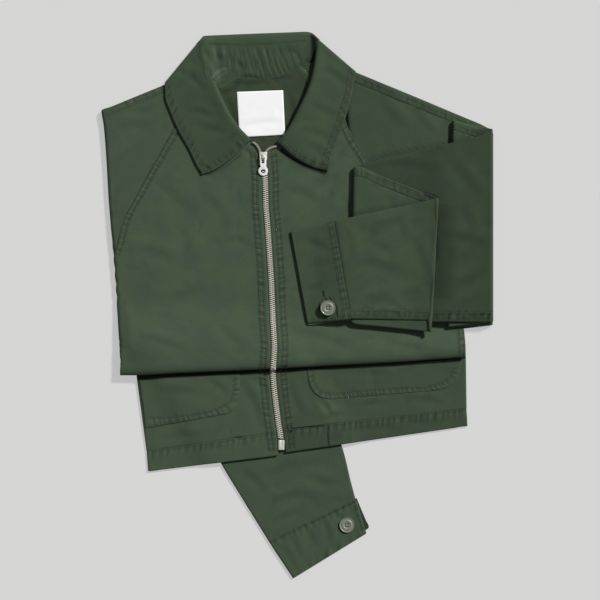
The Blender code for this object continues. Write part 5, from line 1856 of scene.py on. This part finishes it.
for leaf, flat, leaf_area, folds in (
    ("collar_leaf_right", (0.08, 0.141), 0.0092, [
        (0, (-145.2, 282.4), (-111.6, 256), 0.1, 0.4, 4), (0, (-133.2, 232), (-99.6, 224.8), 0.08, 0.4, 4),
        (0, (-121.2, 212.8), (-85.2, 205.6), 0.06, 0.4, 5), (0, (-150, 256), (-121.2, 275.2), 0.06, 0.3, 4),
    ]),
    ("collar_leaf_left", (0.076, 0.135), 0.0083, [
        (0, (30, 282.4), (58.8, 265.6), 0.06, 0.4, 4), (0, (18, 241.6), (49.2, 227.2), -0.05, 0.4, 4),
        (0, (3.6, 210.4), (42, 198.4), 0.06, 0.35, 4), (0, (10.8, 193.6), (32.4, 176.8), 0.05, 0.35, 4),
    ]),
):
    dress(
        leaf, LEAF, seams=[
            LEAF_EDGE, {"edge": "bottom", "rows": (3.4, 7.2), "pucker": (0.2, 9, 5, 4)},
        ],
        creases=folds, step=1.6,
    )
collar_back()
# stitched tapes at the neck; the darkness below zero paints highlights along their two stitch rows
NECK_TAPE = {"rows": (-2.6, 2.6), "dark": -2.4, "band": (-3.2, 3.2, 0.9)}
dress(
    "collar_back", LEAF,
    seams=[
        {"line": [(-85.2, 292), (-56.4, 289.6), (-26.4, 290.8), (3.6, 294.4)], "rows": (),
         "pucker": (0.36, 7.2, 0, 9)},
        {"line": [(-73.2, 277.6), (-38.4, 277.6), (-8.4, 283.6)], "rows": (), "pucker": (0.34, 5.8, 0, 7)},
        {"line": [(-109.2, 304), (-68.4, 301.6), (3.6, 306.4)], "rows": (), "pucker": (0.3, 9.5, 0, 6)},
        {"line": [(-109.2, 313.6), (-68.4, 312.4), (-32.4, 313.6), (10.8, 317.2)], "rows": (0,)},
        {"line": [(-101.5, 268), (-96, 275.8), (-91.2, 279.4), (-83.4, 282.4)], **NECK_TAPE},
    ],
    creases=[
        (0, (-111.6, 306.4), (-104.4, 287.2), 0.1, 0.5, 3), (0, (-99.6, 304), (-92.4, 289.6), 0.1, 0.4, 3),
        (0, (-106.8, 294.4), (-78, 294.4), 0.05, 0.3, 4), (0, (-78, 294.4), (-63.6, 272.8), 0.2, 0.4, 3),
        (0, (-94.8, 252.4), (-68.4, 270.4), -0.1, 0.7, 3), (0, (-68.4, 272.8), (-42, 269.2), 0.1, 0.4, 2.6),
        (0, (-109.2, 284.8), (-103.2, 270.4), 0.1, 0.4, 2.5),
        (0, (-32.4, 301.6), (10.8, 306.4), 0.04, 0.3, 4), (0, (-8.4, 306.4), (3.6, 292), 0.1, 0.4, 3),
    ],
    # grooves with painted shade: the wedge at the collar's top corner beside the left leaf, and valleys along
    # the neck seam
    cuts=[
        ([(19.2, 323.8), (19.9, 311.2), (18.7, 294.4), (15.1, 277.6)], 3.4, 0.7, 2.6),
        ([(16.8, 326.3), (24.7, 317.2)], 2.4, 0, 1.6),
        ([(-102, 258.4), (-90, 258.4), (-78, 265.6), (-69.6, 270.8)], 1.6, 0.5, 1.6),
        ([(-42, 268.7), (-22.8, 271.6), (-10.8, 276.8)], 1.4, 0.4, 1.2),
    ],
    step=1.4,
)
back_neck()
dress(
    "back_neck", INSIDE,
    seams=[{"line": [(0, 286), (8.4, 278.2), (16.8, 269.2)], **NECK_TAPE}],
    creases=[
        (0, (-94.8, 252.4), (-67.2, 271.6), -0.1, 0.8, 3), (0, (-63.6, 263.2), (-32.4, 265.6), 0.1, 0.4, 3),
        (0, (-32.4, 265.6), (-6, 272.8), 0.1, 0.4, 3),
        (0, (-90, 258.4), (-73.2, 210.4), 0.05, 0.4, 4), (0, (-10.8, 256), (-6, 217.6), 0.05, 0.4, 4),
        (0, (-51.6, 200.8), (-34.8, 194.8), 0.05, 0.3, 3), (0, (-78, 265.6), (-42, 263.2), 0.05, 0.3, 3),
    ],
    step=1.7,
)
label()
dress(
    "label", SATIN,
    creases=[(0, (-70.8, 212.8), (-16.8, 220), 0.04, 0.25, 4)], step=1.4,
)

stand_for(hidden, "hidden_layers", INSIDE)

# ---------------------------------------------------------------- zip


TAPE_STEP = 1.5
TAPE_WALL = 0.8
TAPE_SUNK = 0.15  # by which the tape lies below its solid's middle
TOOTH_SIZE = (1.35, 3.4, 1.7)  # along the chain, across it and up
TOOTH_PITCH = 2.5
TOOTH_SIDE = 1.35  # from the chain's middle to the middle of a tooth
TOOTH_LIFT = 0.45
CHAIN_END = 0.8  # left without teeth at the end of a chain
OPEN_TOOTH = (0.8, 0.68, 1)  # size of a tooth on an open tape end, against one in the chain


def tooth_model():
    """One zip tooth: a block with rounded edges."""
    bpy.ops.object.select_all(action="DESELECT")
    bpy.ops.mesh.primitive_cube_add(size=1)
    made = bpy.context.object
    made.scale = TOOTH_SIZE
    bpy.ops.object.transform_apply(location=True, rotation=True, scale=True)
    round_edges(made, 0.35)
    return as_model(made)


TOOTH = tooth_model()


def zip_part(name, both=True):
    """Tapes and teeth of one stretch of the zip, along its grid."""
    cloth = Cloth(name, TAPE_STEP)
    cloth.wall = np.full(cloth.wall.shape, TAPE_WALL)
    cloth.relief = np.full(cloth.relief.shape, -TAPE_SUNK)
    cloth.settle()
    made = shell(cloth)
    stand_for(made, name, TAPE)
    surface, out = cloth.outside(), cloth.normal * cloth.face
    middle = surface.shape[1] // 2
    line, up = surface[:, middle], out[:, middle]
    run = lengths(line)
    at = np.arange(TOOTH_PITCH / 2, run[-1] - CHAIN_END, TOOTH_PITCH / 2)
    ahead, behind = read(line, run, at + CHAIN_END), read(line, run, at - CHAIN_END)
    places = []
    for k, (place, way, lift) in enumerate(zip(read(line, run, at), ahead - behind, read(up, run, at))):
        way = way / np.linalg.norm(way)
        side = (TOOTH_SIDE if k % 2 else -TOOTH_SIDE) if both else 0.0
        places.append((place + np.cross(lift, way) * side + lift * TOOTH_LIFT, way, lift))
    model = TOOTH if both else (TOOTH[0] * OPEN_TOOTH, TOOTH[1])
    teeth = repeated(name + "_teeth", model, places, TEETH if both else TEETH_DIM)
    return cloth, made, teeth


zip_upper()
zip_lower()
tape_ends()
ends = []
for name in ("zip_tape_right", "zip_tape_left"):
    ends += zip_part(name, both=False)[1:]
for name, others in (("zip_upper", ends), ("zip_lower", [])):
    cloth, made, teeth = zip_part(name)
    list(others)


def from_cad(name, body, finish, width, cutter=None):
    """A metal piece with the form of its solid, a slot cut in it if asked for, and rounded edges.

    width is the edges' rounding in metres; cutter is the slot's lowest and highest corner.
    """
    solid = bpy.data.objects[name]
    made = bpy.data.objects.new(name + "_dressed", solid.data.copy())
    made.matrix_world = solid.matrix_world
    bpy.context.scene.collection.objects.link(made)
    select_only(made)
    bpy.ops.object.mode_set(mode="EDIT")
    bpy.ops.mesh.select_all(action="SELECT")
    bpy.ops.mesh.remove_doubles(threshold=0.000002)
    bpy.ops.mesh.normals_make_consistent(inside=False)
    bpy.ops.mesh.dissolve_limited(angle_limit=math.radians(2))
    bpy.ops.object.mode_set(mode="OBJECT")
    if cutter:
        low, high = cutter
        middle = [(a + b) / 2.0 * MM for a, b in zip(low, high)]
        bpy.ops.object.select_all(action="DESELECT")
        bpy.ops.mesh.primitive_cube_add(size=1, location=middle)
        tool = bpy.context.object
        tool.scale = [(b - a) * MM for a, b in zip(low, high)]
        carve(made, tool)
    round_edges(made, width)
    bpy.ops.object.shade_smooth_by_angle(angle=math.radians(35))
    made.data.materials.clear()
    stand_for(made, name, finish, body)


TAB_SLOT = ((-42.6, 170, 9), (-39, 176.8, 18))
from_cad("slider", "jacket", BODY_METAL, 0.00025)
box_low, box_high = (np.array(corner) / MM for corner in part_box("zip_box"))
box_middle = (box_low + box_high) / 2.0
BOX_SLOT = (
    (box_middle[0] - 0.5, box_middle[1] - 1, box_high[2] - 0.9),
    (box_middle[0] + 0.5, box_high[1] + 1, box_high[2] + 1),
)
from_cad("zip_box", "jacket", BODY_METAL, 0.00025, BOX_SLOT)
from_cad("pull_tab", "pull_tab", PULL_METAL, 0.0002, TAB_SLOT)

# ---------------------------------------------------------------- buttons

# share of the radius stepped inward, and metres up, from the rim to the sunk middle
BUTTON_RINGS = (
    (0.08, 0), (0.07, -0.0007), (0.09, 0), (0.08, 0.0005), (0.2, 0.0001), (0.08, -0.0005), (0.1, -0.0001),
)
BUTTON_SUNK = 0.25  # share of the solid's thickness by which the cloth closes round a sewn button
HOLE_PLACE = 0.17  # from the middle along x and y, as a share of the radius
HOLE_RADIUS = 0.105
THREAD_DEPTH = 1.15  # mm from the rim's top down to the threads
THREAD_SIDE = 0.22  # mm from the middle of a pair of holes to each of its two threads


def button(name):
    """A four-hole button with a raised rim, and its threads: two parallel pairs, each joining two holes."""
    low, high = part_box(name)
    high.z -= BUTTON_SUNK * (high.z - low.z)
    middle, radius = (low + high) / 2, (high.x - low.x) / 2.0
    bpy.ops.object.select_all(action="DESELECT")
    bpy.ops.mesh.primitive_cylinder_add(vertices=48, radius=radius, depth=high.z - low.z, location=middle)
    made = bpy.context.object
    made.name = name + "_dressed"
    bpy.ops.object.transform_apply(location=True, rotation=True, scale=True)
    bpy.ops.object.mode_set(mode="EDIT")
    bpy.ops.mesh.select_mode(type="FACE")
    bpy.ops.mesh.select_all(action="DESELECT")
    shape = bmesh.from_edit_mesh(made.data)
    for face in shape.faces:
        face.select_set(face.normal.z > 0.9)
    bmesh.update_edit_mesh(made.data)
    for thickness, depth in BUTTON_RINGS:
        bpy.ops.mesh.inset(thickness=radius * thickness, depth=depth)
    bpy.ops.object.mode_set(mode="OBJECT")
    round_edges(made, 0.0003)
    hole = radius * HOLE_PLACE
    for dx, dy in ((1, 1), (1, -1), (-1, 1), (-1, -1)):
        bpy.ops.object.select_all(action="DESELECT")
        bpy.ops.mesh.primitive_cylinder_add(
            vertices=16, radius=radius * HOLE_RADIUS, depth=0.02,
            location=middle + Vector((dx * hole, dy * hole, 0)),
        )
        carve(made, bpy.context.object)
    bpy.ops.object.shade_smooth_by_angle(angle=math.radians(40))
    stand_for(made, name, BUTTON)
    places = []
    top = np.array(middle) / MM + (0, 0, (high.z - middle.z) / MM - THREAD_DEPTH)
    reach = hole / MM
    way, up = np.array([0.0, 1, 0]), np.array([0.0, 0, 1])
    for side in (-1, 1):
        for beside in (-THREAD_SIDE, THREAD_SIDE):
            places.append((top + (side * reach + beside, 0, 0), way, up))
    long = STITCH[0] * (1.1 * reach, 0.5, 0.5)
    cross = repeated(name + "_thread", (long, STITCH[1]), places, THREAD)


button("button_left")
button("button_right")

# ---------------------------------------------------------------- floor, light and camera

FLOOR_GREY = 0.66
FLOOR_LIT = 0.3  # share of the floor's grey that takes light and shadow; it gives the rest itself
FLOOR_DROP = 0.0004  # metres below the jacket's underside
ROOM = ((0.93, 0.96, 1, 1), 0.24)  # colour and strength of the soft light from all round
WINDOW = ((1, 0.98, 0.95), 4.2)  # colour and strength of the light from the side
WINDOW_WAY = (0.8, 0.74, 0.86)  # from the jacket towards it
WINDOW_SPREAD = 7  # degrees
CAMERA_PLACE = (0.0036, 0.0064, 3.008)
CAMERA_LENS = 150.0  # mm, on a 36 mm sensor

bpy.ops.object.select_all(action="DESELECT")
bpy.ops.mesh.primitive_plane_add(size=6, location=(0, 0, -FLOOR_DROP))
floor = bpy.context.object
floor.name = "floor"
surface = Looks("floor_pale", roughness=0.95, specular_ior_level=0.1)
grey = (FLOOR_GREY, FLOOR_GREY, FLOOR_GREY)
surface.set(
    base_color=scaled(grey, FLOOR_LIT), emission_color=scaled(grey, 1 - FLOOR_LIT), emission_strength=1,
)
floor.data.materials.append(surface.material)

world = bpy.data.worlds.new("soft_room")
world.use_nodes = True
light = world.node_tree.nodes["Background"].inputs
light["Color"].default_value, light["Strength"].default_value = ROOM
bpy.context.scene.world = world
bpy.context.scene.view_settings.view_transform = "Standard"
sun = bpy.data.objects.new("window", bpy.data.lights.new("window", "SUN"))
sun.data.color, sun.data.energy = WINDOW
sun.data.angle = math.radians(WINDOW_SPREAD)
sun.rotation_euler = Vector(WINDOW_WAY).to_track_quat("Z", "Y").to_euler()
bpy.context.scene.collection.objects.link(sun)

camera = bpy.data.objects.new("above", bpy.data.cameras.new("above"))
camera.data.sensor_width = 36.0
camera.data.lens = CAMERA_LENS
camera.location = CAMERA_PLACE
bpy.context.scene.collection.objects.link(camera)
bpy.context.scene.camera = camera
